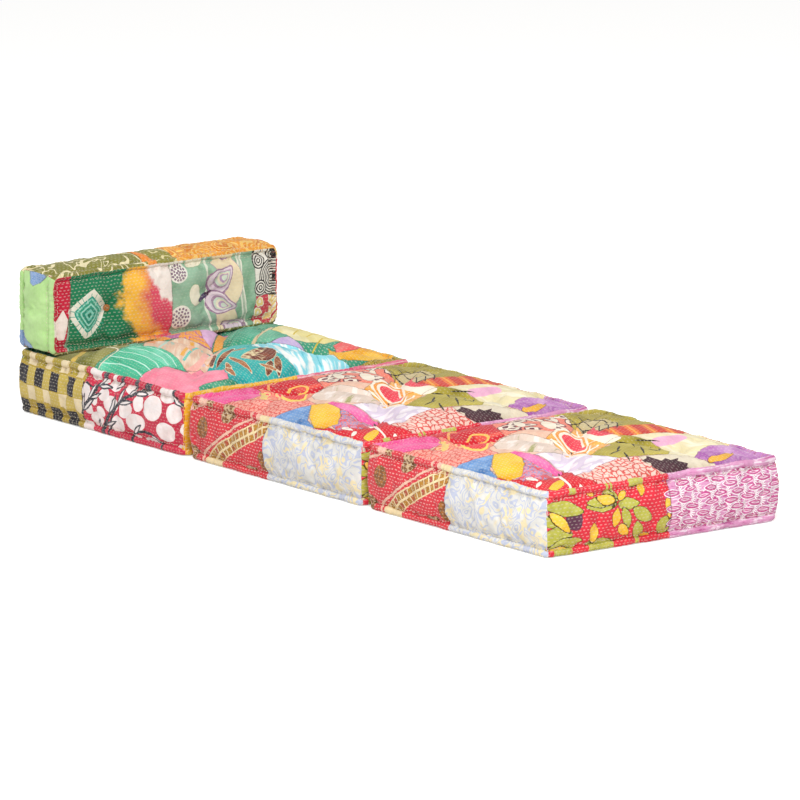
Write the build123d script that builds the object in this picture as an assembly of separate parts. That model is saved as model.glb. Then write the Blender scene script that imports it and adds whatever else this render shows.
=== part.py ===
"""Modular floor pouf laid out as a day bed: three square seat modules in a row and a back cushion.

Each module is a hand-made mattress cushion. A quilted patchwork cover is sewn from a top panel,
an underside panel and four side bands. Its edges are pinched and whip-stitched into rolls, and the
filling is held by tufts: a doubled waxed twine goes through the cushion and is knotted at both ends.
The modules are loose. The back cushion stands on the head module and lifts off.

Frame: +X runs from the head to the foot, the near side is -Y and +Z is up. The origin is on the
floor, under the middle of the row. All sizes are in millimetres.
"""

from build123d import *
import math
import os

# Driving sizes of the whole row
seat_count = 3
seat_length = 700.0
seat_width = 700.0
seat_thickness = 155.0
back_height = 210.0
back_thickness = 140.0
rest_gap = 0.3

# The quilted cloth and its rolled edges
cloth_thickness = 3.0
cloth_clearance = 0.8
roll_radius = 9.0
roll_bend_radius = 14.0
corner_roll_radius = 7.0
floor_lift = 0.5

# How far the stuffed faces stand out, and the folds that run across them
band_bulge = 10.0
seat_rise = 30.0
seat_fold_depth = 10.0
seat_fold_width = 42.0
back_rise = 20.0
back_fold_depth = 5.0
back_fold_width = 36.0

# Tufts: their funnel in the face, the twine in its bore, the knots and the one wooden button
tuft_pull = 6.0
seat_funnel = 46.0
back_funnel = 34.0
strand_radius = 1.2
strand_spacing = 5.2
bore_clearance = 0.6
knot_radius = 6.0
knot_lip = 2.4
button_radius = 8.5
button_thickness = 5.0
button_edge = 1.5
dish_mouth_radius = 28.0
dish_floor_radius = 11.0
dish_depth = 9.5

# Where the back cushion presses the head module flat
press_margin = 8.0
press_ramp = 120.0

# How closely a stuffed face follows its formula, and one overrun for every cut
shape_pitch = 21.0
shape_tolerance = 0.5
cut_overrun = 60.0

# Shapes of the stuffed faces, as powers and as shares of a panel's half sizes
crown_power_share = 3.4
press_power_share = 16.0
band_power_share = 2.0
band_end_share = 0.55
funnel_power_share = 1.2
seat_tuft_shares = [(0, 0), (-0.52, -0.52), (0.52, -0.52), (-0.52, 0.52), (0.52, 0.52)]
back_tuft_shares = [(0, 0.53), (0, -0.41)]

UP_FROM_BASE = (Align.CENTER, Align.CENTER, Align.MIN)
DOWN_FROM_TOP = (Align.CENTER, Align.CENTER, Align.MAX)
BAND_TURNS = {"y_min": 0, "x_max": 90, "y_max": 180, "x_min": 270}


def crowned(u, v, power):
    """Share of a face's rise: 1 at its middle and 0 along its four edges, where u or v is 1."""
    return (1 - min(1, abs(u)) ** power) * (1 - min(1, abs(v)) ** power)


def eased(share):
    """Goes smoothly from 0 to 1 as the share does."""
    held = min(1, max(0, share))
    return held * held * (3 - 2 * held)


def shaped_face(half_u, half_v, height):
    """Smooth face over a rectangle in the XY plane, at height(x, y)."""
    count_u = max(8, round(2 * half_u / shape_pitch))
    count_v = max(8, round(2 * half_v / shape_pitch))
    rows = []
    for i in range(count_u + 1):
        x = half_u * (2 * i / count_u - 1)
        ys = [half_v * (2 * j / count_v - 1) for j in range(count_v + 1)]
        rows.append([Vector(x, y, height(x, y)) for y in ys])
    return Face.make_surface_from_array_of_points(rows, tol=shape_tolerance, min_deg=3, max_deg=3)


class Cushion:
    """One mattress cushion in its own frame: the tufted face looks along +Z, with Z = 0 behind it."""

    def __init__(self, length, width, thickness, rise, funnel, tuft_shares):
        self.length, self.width, self.thickness = length, width, thickness
        self.rise, self.funnel = rise, funnel
        # Half sizes of the rolls' centre line, and of the panels inside them
        self.roll_x = length / 2 - band_bulge - roll_radius
        self.roll_y = width / 2 - band_bulge - roll_radius
        self.panel_x = self.roll_x - roll_radius - rest_gap
        self.panel_y = self.roll_y - roll_radius - rest_gap
        self.seam_z = thickness - roll_radius
        self.tufts = [(u * self.panel_x, v * self.panel_y) for u, v in tuft_shares]
        # From the centre line of an upright corner roll in to the corner of the rolls' centre line
        self.corner_inset = roll_bend_radius * (1 - math.sqrt(1 / 2))

    def fold(self, x, y):
        """Depth of the folds in the tufted face."""
        return 0

    def face_height(self, x, y):
        """Height of the tufted face: a crown, less its folds and the funnel at each tuft."""
        crown = crowned(x / self.panel_x, y / self.panel_y, crown_power_share)
        stands = self.pressed(x, y, (self.rise - self.fold(x, y)) * crown)
        reaches = [math.hypot(x - tuft_x, y - tuft_y) / self.funnel for tuft_x, tuft_y in self.tufts]
        pull = (1 + min(reaches) ** 2) ** -funnel_power_share
        return self.seam_z + stands * (1 - pull) - tuft_pull * pull

    def pressed(self, x, y, stands):
        """How far the face stands out once anything that rests on it has pressed it."""
        return stands

    def tufted_face(self, drop):
        face = shaped_face(self.panel_x, self.panel_y, self.face_height)
        return Pos(0, 0, -drop) * face

    def inner_outline(self, clearance):
        """Outline of what lies inside the rolls: a panel, or with a clearance the filling."""
        inner_bend = roll_bend_radius - roll_radius
        half_x, half_y = self.panel_x - clearance, self.panel_y - clearance
        return RectangleRounded(2 * half_x, 2 * half_y, inner_bend)

    def bores(self, bottom, top):
        """The holes that the tufts' twines pass through, from one height to another."""
        radius = strand_spacing / 2 + strand_radius + bore_clearance
        bore = Cylinder(radius, top - bottom, align=UP_FROM_BASE)
        return [Pos(x, y, bottom) * bore for x, y in self.tufts]

    def tufted_panel(self):
        """Quilted cloth of the tufted face, rounded at its corners to fit inside the roll."""
        tall = self.thickness + self.rise + cut_overrun
        panel = Solid.extrude(self.tufted_face(0), (0, 0, -cloth_thickness))
        return (panel & extrude(self.inner_outline(0), tall)) - self.bores(0, tall)

    def roll(self, height):
        """The rolled edge round one face: a tube along the cushion's outline."""
        outline = RectangleRounded(2 * self.roll_x, 2 * self.roll_y, roll_bend_radius)
        path = Pos(0, 0, height) * outline.face().outer_wire()
        section = Plane(origin=path @ 0, z_dir=path % 0) * Circle(roll_radius)
        return sweep(section, path=path)

    def corner_rolls(self, bottom, top):
        """The upright rolls that close the four corners, between the two edge rolls."""
        x, y = self.roll_x - self.corner_inset, self.roll_y - self.corner_inset
        post = Cylinder(corner_roll_radius, top - bottom, align=UP_FROM_BASE)
        return [Pos(x * side_x, y * side_y, bottom) * post for side_x in (-1, 1) for side_y in (-1, 1)]

    def band_face(self, side, inset, bottom, top, flat):
        """Outer face of one side band, less an inset: bulged, or flat where the cushion stands on it."""
        across = side in ("y_min", "y_max")
        half_run = (self.roll_x if across else self.roll_y)
        half_run -= self.corner_inset + corner_roll_radius + rest_gap
        seam = self.roll_y if across else self.roll_x
        half_tall = (top - bottom) / 2
        reach = roll_radius if flat else roll_radius + band_bulge

        def outward(x, y):
            ends = 1 - band_end_share * abs(x / half_run) ** crown_power_share
            return reach * ends * (1 - abs(y / half_tall) ** band_power_share) - inset

        def level(x, y):
            return reach - inset

        face = shaped_face(half_run, half_tall, level if flat else outward)
        turn = Rot(0, 0, BAND_TURNS[side])
        return turn * Pos(0, -seam, (bottom + top) / 2) * Rot(90, 0, 0) * face

    def band_way_in(self, side):
        """Unit vector from a side band straight into the cushion."""
        turn = math.radians(BAND_TURNS[side])
        return Vector(-math.sin(turn), math.cos(turn), 0)

    def knot(self, x, y, base, up):
        """A pulled-down knot: a ball cut flat where it bears on the cloth."""
        ball = Pos(0, 0, knot_lip) * Sphere(knot_radius)
        below = Cylinder(knot_radius + cut_overrun, cut_overrun, align=DOWN_FROM_TOP)
        knot = ball - below
        return Pos(x, y, base) * (knot if up else Rot(180, 0, 0) * knot)

    def strands(self, x, y, bottom, top):
        """The two strands of one tuft's twine."""
        strand = Cylinder(strand_radius, top - bottom, align=UP_FROM_BASE)
        return [Pos(x, y + side * strand_spacing / 2, bottom) * strand for side in (-1, 1)]

    def bearing_height(self, panel, x, y, radius):
        """Highest point of a panel under a round thing of this radius."""
        column = Cylinder(radius, self.thickness + cut_overrun, align=UP_FROM_BASE)
        return (panel & (Pos(x, y, 0) * column)).bounding_box().max.Z


class SeatModule(Cushion):
    """A seat: its underside is a flat sheet with a dish round each knot, and lies on the floor."""

    def __init__(self, carries_back):
        super().__init__(seat_length, seat_width, seat_thickness, seat_rise, seat_funnel, seat_tuft_shares)
        self.carries_back = carries_back
        self.low_roll_z = floor_lift + roll_radius
        self.band_bottom = self.low_roll_z + roll_radius + rest_gap
        self.band_top = self.seam_z - roll_radius - rest_gap

    def fold(self, x, y):
        off_diagonal = abs(abs(x) - abs(y)) / seat_fold_width
        return seat_fold_depth * math.exp(-(off_diagonal**2))

    def pressed(self, x, y, stands):
        if not self.carries_back:
            return stands
        back_depth = back_thickness + 2 * (back_rise - roll_radius)
        free = eased((x + self.length / 2 - back_depth - press_margin) / press_ramp)
        flat = roll_radius * crowned(x / self.panel_x, y / self.panel_y, press_power_share)
        return free * stands + (1 - free) * flat

    def dishes(self, lift):
        """The dish round each tuft in the underside, as a solid that stands on a height."""
        dish = Cone(dish_mouth_radius, dish_floor_radius, dish_depth, align=UP_FROM_BASE)
        return [Pos(x, y, lift) * dish for x, y in self.tufts]

    def underside_panel(self):
        sheet = extrude(self.inner_outline(0), cloth_thickness) + self.dishes(cloth_thickness)
        return sheet - self.dishes(0) - self.bores(0, cloth_thickness + dish_depth)

    def filling(self):
        """The filling: a block under the tufted face, with a swelling behind each side band."""
        behind = cloth_thickness + cloth_clearance
        tall = self.thickness + self.rise
        block = Pos(0, 0, behind) * extrude(self.inner_outline(cloth_clearance), tall)
        block -= Solid.extrude(self.tufted_face(behind), (0, 0, tall + cut_overrun))
        for side in BAND_TURNS:
            face = self.band_face(side, behind, self.band_bottom, self.band_top, False)
            block += Solid.extrude(face, self.band_way_in(side) * cut_overrun)
        return block - self.dishes(behind) - self.bores(0, tall)

    def nodes(self):
        """Every piece of the seat, by its plain name."""
        top_panel = self.tufted_panel()
        pieces = {
            "filling": self.filling(),
            "top_panel": top_panel,
            "underside_panel": self.underside_panel(),
            "top_roll": self.roll(self.seam_z),
            "bottom_roll": self.roll(self.low_roll_z),
            "corner_rolls": self.corner_rolls(self.band_bottom, self.band_top),
        }
        for side, name in {"x_min": "head", "x_max": "foot", "y_min": "near", "y_max": "far"}.items():
            face = self.band_face(side, 0, self.band_bottom, self.band_top, False)
            pieces[name + "_band"] = Solid.extrude(face, self.band_way_in(side) * cloth_thickness)
        knots, twines = [], []
        low = dish_depth - rest_gap
        for x, y in self.tufts:
            high = self.bearing_height(top_panel, x, y, knot_radius) + rest_gap
            knots += [self.knot(x, y, low, False), self.knot(x, y, high, True)]
            twines += self.strands(x, y, low, high)
        pieces["tuft_knots"] = knots
        pieces["tuft_twines"] = twines
        return pieces


class BackCushion(Cushion):
    """The back: tufted on both faces. Its length is its height, and it stands on its low-X side."""

    def __init__(self):
        # The flat side has no bulge, so the length is one bulge more than the height
        super().__init__(
            back_height + band_bulge, seat_width, back_thickness, back_rise, back_funnel, back_tuft_shares
        )
        self.band_bottom = 2 * roll_radius + rest_gap
        self.band_top = self.thickness - self.band_bottom
        self.middle = Plane.XY.offset(self.thickness / 2)

    def fold(self, x, y):
        return back_fold_depth * math.exp(-((x / back_fold_width) ** 2))

    def filling(self):
        behind = cloth_thickness + cloth_clearance
        tall = self.thickness + 2 * self.rise
        block = Pos(0, 0, -self.rise) * extrude(self.inner_outline(cloth_clearance), tall)
        front = Solid.extrude(self.tufted_face(behind), (0, 0, tall + cut_overrun))
        block = block - front - mirror(front, self.middle)
        for side in BAND_TURNS:
            face = self.band_face(side, behind, self.band_bottom, self.band_top, side == "x_min")
            block += Solid.extrude(face, self.band_way_in(side) * cut_overrun)
        return block - self.bores(-self.rise, tall)

    def button(self, x, y, base):
        """A turned wooden button with two holes for the strands."""
        disc = Cylinder(button_radius, button_thickness, align=UP_FROM_BASE)
        disc = fillet(disc.edges().filter_by(GeomType.CIRCLE), button_edge)
        hole = Cylinder(strand_radius + bore_clearance, button_thickness, align=UP_FROM_BASE)
        disc -= [Pos(0, side * strand_spacing / 2, 0) * hole for side in (-1, 1)]
        return Pos(x, y, base) * disc

    def stitch(self, x, y, base):
        """The bridge of twine over the button, from one strand to the other."""
        half = strand_spacing / 2
        bridge = Plane(origin=(x, y, base), x_dir=(0, 1, 0), z_dir=(1, 0, 0))
        path = bridge * CenterArc((0, 0), half, 0, 180)
        section = Plane(origin=path @ 0, z_dir=path % 0) * Circle(strand_radius)
        return sweep(section, path=path)

    def nodes(self):
        front_panel = self.tufted_panel()
        pieces = {
            "filling": self.filling(),
            "front_panel": front_panel,
            "rear_panel": mirror(front_panel, self.middle),
            "front_roll": self.roll(self.seam_z),
            "rear_roll": self.roll(roll_radius),
            "corner_rolls": self.corner_rolls(self.band_bottom, self.band_top),
        }
        names = {"x_min": "bottom", "x_max": "top", "y_min": "far_end", "y_max": "near_end"}
        for side, name in names.items():
            face = self.band_face(side, 0, self.band_bottom, self.band_top, side == "x_min")
            pieces[name + "_band"] = Solid.extrude(face, self.band_way_in(side) * cloth_thickness)
        # The near tuft has the button in front, and the far one a knot
        (near_x, near_y), (far_x, far_y) = self.tufts
        button_base = self.bearing_height(front_panel, near_x, near_y, button_radius) + rest_gap
        button_face = button_base + button_thickness
        high = self.bearing_height(front_panel, far_x, far_y, knot_radius) + rest_gap
        near_low = self.thickness - self.bearing_height(front_panel, near_x, near_y, knot_radius) - rest_gap
        far_low = self.thickness - high
        left, right = self.strands(near_x, near_y, near_low, button_face)
        pieces["tuft_twines"] = [
            left + self.stitch(near_x, near_y, button_face) + right,
            *self.strands(far_x, far_y, far_low, high),
        ]
        pieces["tuft_button"] = self.button(near_x, near_y, button_base)
        pieces["tuft_knots"] = [
            self.knot(near_x, near_y, near_low, False),
            self.knot(far_x, far_y, far_low, False),
            self.knot(far_x, far_y, high, True),
        ]
        return pieces


def write_nodes(prefix, pieces, place):
    """Write each piece of a cushion, put in its place, to its own file."""
    for name, piece in pieces.items():
        solids = piece if isinstance(piece, list) else [piece]
        placed = [place * solid for shape in solids for solid in shape.solids()]
        export_step(Compound(children=placed), f"parts/{prefix}_{name}.step")


os.makedirs("parts", exist_ok=True)

# The seat modules lie in a row with their bulged bands a rest gap apart
seat_pitch = seat_length + rest_gap
plain_seat = SeatModule(carries_back=False).nodes()
head_seat = SeatModule(carries_back=True).nodes()
head_x = -seat_pitch * (seat_count - 1) / 2
write_nodes("head_seat", head_seat, Pos(head_x, 0, 0))
for number, prefix in enumerate(["middle_seat", "foot_seat"], start=1):
    write_nodes(prefix, plain_seat, Pos(head_x + number * seat_pitch, 0, 0))

# The back cushion stands on the head module, with its rear crown flush with the row's head end
back = BackCushion()
back_rear_x = head_x - seat_length / 2 + back_rise - roll_radius
back_middle_z = seat_thickness + rest_gap + back.roll_x + roll_radius
back_place = Plane(origin=(back_rear_x, 0, back_middle_z), x_dir=(0, 0, 1), z_dir=(1, 0, 0)).location
write_nodes("back", back.nodes(), back_place)
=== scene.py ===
"""Floor day bed of tufted patchwork cushions: three seat modules in a row, and a back cushion.

Everything is in metres in the row's frame: +X runs from the head to the foot, the near side is -Y
and +Z is up. Sizes that come from the makers' pattern are written in millimetres, times MM.
"""

import math
import random

import bpy
import numpy as np
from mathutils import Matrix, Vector, kdtree, noise
from mathutils.geometry import delaunay_2d_cdt


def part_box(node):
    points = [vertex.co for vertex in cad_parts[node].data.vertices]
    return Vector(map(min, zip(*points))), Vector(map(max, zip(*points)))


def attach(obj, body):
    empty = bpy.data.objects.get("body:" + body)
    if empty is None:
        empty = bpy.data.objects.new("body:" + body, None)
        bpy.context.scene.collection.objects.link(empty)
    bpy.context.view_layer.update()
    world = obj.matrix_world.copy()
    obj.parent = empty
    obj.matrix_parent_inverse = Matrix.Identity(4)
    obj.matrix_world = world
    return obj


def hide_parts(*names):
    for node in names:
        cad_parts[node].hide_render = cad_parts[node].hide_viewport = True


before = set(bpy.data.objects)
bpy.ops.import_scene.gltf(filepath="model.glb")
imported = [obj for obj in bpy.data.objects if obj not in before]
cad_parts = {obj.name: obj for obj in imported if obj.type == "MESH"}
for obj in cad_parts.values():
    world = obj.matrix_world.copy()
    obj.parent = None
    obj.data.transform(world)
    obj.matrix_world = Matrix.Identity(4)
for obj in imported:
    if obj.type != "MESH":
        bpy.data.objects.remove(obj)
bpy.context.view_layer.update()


# The studio: a pale floor that runs out to white, soft light from above, and a long lens that
# looks across the near corner of the foot end.

HOME = bpy.context.scene.collection


def linear(colour):
    """Linear RGBA of an sRGB hex colour such as "c8402a"."""
    channels = [int(colour[k:k + 2], 16) / 255 for k in (0, 2, 4)]
    return [c / 12.92 if c < 0.04045 else ((c + 0.055) / 1.055) ** 2.4 for c in channels] + [1.0]


def add(tree, kind, inputs=None, **settings):
    """Add a node with its settings. An input is a value, or a node or socket to link."""
    made = tree.nodes.new("ShaderNode" + kind)
    for name, value in settings.items():
        setattr(made, name, value)
    for key, value in (inputs or {}).items():
        if isinstance(value, bpy.types.Node):
            value = value.outputs[0]
        if isinstance(value, bpy.types.NodeSocket):
            tree.links.new(value, made.inputs[key])
        else:
            made.inputs[key].default_value = value
    return made


def new_material(name):
    """A material with an empty node tree, and its output node."""
    material = bpy.data.materials.new(name)
    material.use_nodes = True
    tree = material.node_tree
    tree.nodes.clear()
    return material, tree, add(tree, "OutputMaterial")


def new_object(name, vertices, faces):
    """An object of its own mesh, linked to the scene."""
    mesh = bpy.data.meshes.new(name)
    mesh.from_pydata([tuple(v) for v in vertices], [], faces)
    thing = bpy.data.objects.new(name, mesh)
    HOME.objects.link(thing)
    return thing


def lay_floor():
    """Matt floor that glows a little for the camera, so that it runs out to white."""
    size = 60.0
    corners = [(-size, -size, 0), (size, -size, 0), (size, size, 0), (-size, size, 0)]
    floor = new_object("studio_floor", corners, [(0, 1, 2, 3)])
    material, tree, output = new_material("pale_floor")
    seen = add(tree, "LightPath")
    shown = add(tree, "Math", {0: seen.outputs["Is Camera Ray"], 1: seen.outputs["Is Glossy Ray"]},
                operation="MAXIMUM")
    shown = add(tree, "Math", {0: shown, 1: seen.outputs["Is Transmission Ray"]}, operation="MAXIMUM")
    matt = add(tree, "BsdfDiffuse", {"Color": linear("f4f3f1")})
    white = add(tree, "Emission", {"Color": linear("ffffff"), "Strength": 0.5})
    bright = add(tree, "AddShader", {0: matt, 1: white})
    tree.links.new(add(tree, "MixShader", {0: shown, 1: matt, 2: bright}).outputs[0], output.inputs[0])
    floor.data.materials.append(material)


def hang_lamp(name, place, size, power):
    """A square soft box that points at the middle of the row."""
    light = bpy.data.lights.new(name, "AREA")
    light.shape = "SQUARE"
    light.size = size
    light.energy = power
    lamp = bpy.data.objects.new(name, light)
    lamp.location = place
    lamp.rotation_euler = (-Vector(place)).to_track_quat("-Z", "Y").to_euler()
    HOME.objects.link(lamp)


lay_floor()
hang_lamp("soft_box_over_foot", (2.9, -2.2, 3.0), 2.0, 148)
hang_lamp("soft_box_over_head", (-3.0, -1.6, 3.0), 2.2, 44)
hang_lamp("soft_box_behind", (0.6, 3.4, 3.0), 2.2, 40)

world = bpy.data.worlds.new("studio_air")
world.use_nodes = True
air = world.node_tree
air.nodes.clear()
ray = add(air, "LightPath")
sky = add(air, "Background", {"Color": linear("ffffff"), "Strength": 0.47})
backdrop = add(air, "Background", {"Color": linear("ffffff"), "Strength": 1.0})
behind = add(air, "MixShader", {0: ray.outputs["Is Camera Ray"], 1: sky, 2: backdrop})
add(air, "OutputWorld", {0: behind})
bpy.context.scene.world = world

# The camera is far off with a long lens, so the row shows hardly any perspective
sensor_width = 36.0
camera_azimuth, camera_elevation = math.radians(52.861), math.radians(11.673)
camera_distance, camera_lens = 26.0, 481.0
looks_at = Vector((-0.5882, 0.4757, 0))
lens = bpy.data.cameras.new("long_lens")
lens.sensor_width, lens.lens = sensor_width, camera_lens
lens.clip_end = 200.0
camera = bpy.data.objects.new("camera", lens)
HOME.objects.link(camera)
level_out = math.cos(camera_elevation)
towards = Vector((math.sin(camera_azimuth) * level_out, -math.cos(camera_azimuth) * level_out,
                  math.sin(camera_elevation)))
camera.location = looks_at + towards * camera_distance
camera.rotation_euler = towards.to_track_quat("Z", "Y").to_euler()
bpy.context.scene.camera = camera
bpy.context.scene.view_settings.view_transform = "Standard"


# The stuffed bodies: each cushion is a bag of quilted cotton packed with batting. The bag is slack
# by a few percent, held at its rolled edges and drawn down at its tufts, so it puckers round them.
# The cloth is simulated on a coarse net, which every panel is then laid over.

MM = 0.001
bulge = 10 * MM


class Body:
    """A cushion's place and net. u and v run along its panels, and w out of its tufted face."""

    def __init__(self, name, front_roll, rear_roll, u_axis, v_axis, w_axis, flat_bottom=False):
        self.name = name
        self.u_axis, self.v_axis, self.w_axis = (np.array(axis, float) for axis in (u_axis, v_axis, w_axis))
        low, high = (np.array(corner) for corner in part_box(front_roll))
        rear_low, rear_high = (np.array(corner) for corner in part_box(rear_roll))
        self.roll = (high - low) @ self.w_axis / 2
        self.half_u = (high - low) @ self.u_axis / 2 - self.roll
        self.half_v = (high - low) @ self.v_axis / 2 - self.roll
        self.origin = (rear_low + rear_high) / 2
        self.depth = ((low + high) / 2 - self.origin) @ self.w_axis
        # Half sizes of the whole cushion, which the flat panels are measured from
        self.reach_u = self.half_u + self.roll + bulge
        self.reach_v = self.half_v + self.roll + (0 if flat_bottom else bulge)

    def place(self, u, v, w):
        """Where points of the cushion's own axes lie in the row's frame."""
        return self.origin + u[..., None] * self.u_axis + v[..., None] * self.v_axis + w[...,
                                                                                         None] * self.w_axis


net_pitch = 12 * MM
crown_power, top_power = 3.4, 5.0
end_pull = 0.55


def crowned(u, v):
    """1 over the middle of a face, and falling to 0 at its edges."""
    return (1 - np.minimum(1, abs(u)) ** top_power) * (1 - np.minimum(1, abs(v)) ** top_power)


def tufted_face(body, u, v, face):
    """How far a tufted face stands out of its rolled edge: crown, folds and the funnels at tufts."""
    inside = body.roll
    share_u, share_v = u / (body.half_u - inside), v / (body.half_v - inside)
    crown = crowned(share_u, share_v)
    stands = (face["rise"] - face["fold"](u, v)) * crown
    if face.get("press"):
        free = face["press"](u)
        edge = 1 - np.minimum(1, np.maximum(abs(share_u), abs(share_v))) ** 16
        stands = free * stands + (1 - free) * inside * edge
    for tuft_u, tuft_v in face["tufts"]:
        pull = (1 + ((u - tuft_u) ** 2 + (v - tuft_v) ** 2) / face["funnel"] ** 2) ** -1.2
        stands = stands * (1 - pull) - face["pull"] * pull
    return stands


def net_points(body, front, rear, flat_sides, slack=1.0):
    """Where the net of a cushion lies by its pattern: an array of points, and which are on a face."""
    counts = [max(8, round(2 * body.half_u / net_pitch)), max(8, round(2 * body.half_v / net_pitch)),
              max(8, round(body.depth / net_pitch))]
    i, j, k = np.meshgrid(*[np.arange(n + 1) for n in counts], indexing="ij")
    s, t, r = 2 * i / counts[0] - 1, 2 * j / counts[1] - 1, 2 * k / counts[2] - 1
    u, v, w = s * body.half_u, t * body.half_v, (r + 1) * body.depth / 2
    reach = body.roll + bulge
    swell = 1 - abs(r) ** 2.2
    for name, side, run, low_high in (("u-", s, t, -1), ("u+", s, t, 1), ("v-", t, s, -1), ("v+", t, s, 1)):
        out = reach * swell * (1 - end_pull * abs(run) ** crown_power) * slack
        if name in flat_sides:
            out = body.roll * np.minimum(1, 6 * (1 - abs(r))) * np.minimum(1, 12 * (1 - abs(run)))
        out = np.where(side == low_high, out * low_high, 0)
        if name[0] == "u":
            u = u + out
        else:
            v = v + out
    w = w + np.where(r == 1, tufted_face(body, u, v, front) * slack, 0)
    if rear:
        w = w - np.where(r == -1, tufted_face(body, u, v, rear) * slack, 0)
    else:
        w = w - np.where(r == -1, flat_underside(body, u, v, front["tufts"]), 0)
    on_face = (abs(s) == 1) | (abs(t) == 1) | (abs(r) == 1)
    return np.stack([u, v, w], axis=-1), on_face, (s, t, r)


dish_mouth, dish_floor, dish_depth = 28 * MM, 11 * MM, 9.5 * MM


def flat_underside(body, u, v, tufts):
    """How far the underside stands below its roll's centre line: flat on the floor, dished at tufts."""
    lift = body.origin[2]
    edge = np.minimum(body.half_u - abs(u), body.half_v - abs(v))
    drop = (lift - 0.2 * MM) * np.minimum(1, np.maximum(0, edge) / (14 * MM)) ** 0.5
    for tuft_u, tuft_v in tufts:
        from_tuft = np.hypot(u - tuft_u, v - tuft_v)
        drop = drop - dish_depth * np.clip((dish_mouth - from_tuft) / (dish_mouth - dish_floor), 0, 1)
    return drop


def net_quads(on_face, shape):
    """Number the net's points that lie on a face, and list the quads between them."""
    number = -np.ones(shape, int)
    number[on_face] = np.arange(on_face.sum())
    quads = []
    for axis in range(3):
        for end in (0, shape[axis] - 1):
            sheet = np.take(number, end, axis=axis)
            a, b, c, d = sheet[:-1, :-1], sheet[1:, :-1], sheet[1:, 1:], sheet[:-1, 1:]
            corners = np.stack([a, b, c, d], axis=-1).reshape(-1, 4)
            outwards = (end > 0) != (axis == 1)
            quads += [tuple(q) if outwards else tuple(q[::-1]) for q in corners.tolist()]
    return number, quads


pull_frames = 20
cloth_slack = -0.07
air_pressure = 4.0
most_move = 6 * MM


def stuff(body, front, rear, flat_sides, seed):
    """Simulate the slack bag over its filling and give the settled net, in the cushion's own axes."""
    wanted, on_face, (s, t, r) = net_points(body, front, rear, flat_sides)
    start, _, _ = net_points(body, front, rear, flat_sides, slack=0.86)
    rng = np.random.default_rng(seed)
    start = start + rng.normal(0, 0.5 * MM, start.shape) * on_face[..., None]
    number, quads = net_quads(on_face, on_face.shape)
    bag = new_object(body.name + "_bag", start[on_face], quads)
    held = ((abs(s) == 1).astype(int) + (abs(t) == 1) + (abs(r) == 1)) >= 2
    held |= (r == -1) & (rear is None)
    for name, side, low_high in (("u-", s, -1), ("u+", s, 1), ("v-", t, -1), ("v+", t, 1)):
        if name in flat_sides:
            held |= side == low_high
    for tuft_u, tuft_v in front["tufts"]:
        near = np.hypot(wanted[..., 0] - tuft_u, wanted[..., 1] - tuft_v) < 0.75 * net_pitch
        held |= near & (abs(r) == 1)
    pinned = bag.vertex_groups.new(name="held")
    pinned.add([int(n) for n in number[held & on_face]], 1.0, "REPLACE")
    cloth = bag.modifiers.new("cloth", "CLOTH")
    cloth.settings.vertex_group_mass = "held"
    cloth.settings.quality = 6
    cloth.settings.use_pressure = True
    cloth.settings.uniform_pressure_force = air_pressure
    cloth.settings.shrink_min = cloth_slack
    cloth.settings.tension_stiffness = 30
    cloth.settings.compression_stiffness = 30
    cloth.settings.shear_stiffness = 12
    cloth.settings.bending_stiffness = 0.15
    cloth.settings.effector_weights.gravity = 0
    cloth.collision_settings.use_collision = False
    scene = bpy.context.scene
    for step in range(1, pull_frames + 1):
        scene.frame_set(step)
    settled = bag.evaluated_get(bpy.context.evaluated_depsgraph_get()).data
    found = np.empty(len(settled.vertices) * 3)
    settled.vertices.foreach_get("co", found)
    result = wanted.copy()
    result[on_face] = found.reshape(-1, 3)
    scene.frame_set(1)
    bpy.data.objects.remove(bag)
    moved = result - wanted
    far = np.linalg.norm(moved, axis=-1, keepdims=True)
    return wanted + moved * (most_move / (most_move + far))


FACES = {"u-": (0, 0), "u+": (0, -1), "v-": (1, 0), "v+": (1, -1), "w-": (2, 0), "w+": (2, -1)}


def net_face(net, name):
    """One face of a net, as a grid of points whose first index runs along the panel."""
    axis, end = FACES[name]
    return np.take(net, end, axis=axis)


def curve(f, p0, p1, p2, p3):
    """A smooth curve from p1 to p2 at share f of the way, with p0 before them and p3 after."""
    return 0.5 * (2 * p1 + (p2 - p0) * f + (2 * p0 - 5 * p1 + 4 * p2 - p3) * f ** 2
                  + (3 * p1 - p0 - 3 * p2 + p3) * f ** 3)


def between(grid, s, t):
    """Smooth points on a grid of points, at shares s and t of its two directions."""
    m = grid.shape[1] - 1
    x = np.clip(t, 0, 1) * m
    j = np.minimum(x.astype(int), m - 1)
    g = (x - j)[:, None]
    rows = []
    for offset in (-1, 0, 1, 2):
        column = np.clip(j + offset, 0, m)
        n = grid.shape[0] - 1
        y = np.clip(s, 0, 1) * n
        i = np.minimum(y.astype(int), n - 1)
        f = (y - i)[:, None]
        picks = [grid[np.clip(i + o, 0, n), column] for o in (-1, 0, 1, 2)]
        rows.append(curve(f, *picks))
    return curve(g, *rows)


# The patchwork: each panel is sewn from scraps of block-printed, dyed and embroidered cotton. A
# panel is cut flat along every scrap's outline, and then laid over its face of the settled net.
# Printed leaves, rings and drops are cut the same way, so that their edges stay sharp.

def smooth_outline(points, step=5.0):
    """A closed curve through a few points, in millimetres."""
    ring = np.array(points, float)
    count = len(ring)
    outline = []
    for k in range(count):
        p0, p1, p2, p3 = (ring[(k + o) % count] for o in (-1, 0, 1, 2))
        pieces = max(2, int(np.linalg.norm(p2 - p1) / step))
        outline += [curve(f, p0, p1, p2, p3) for f in np.arange(pieces) / pieces]
    return np.array(outline)


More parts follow.
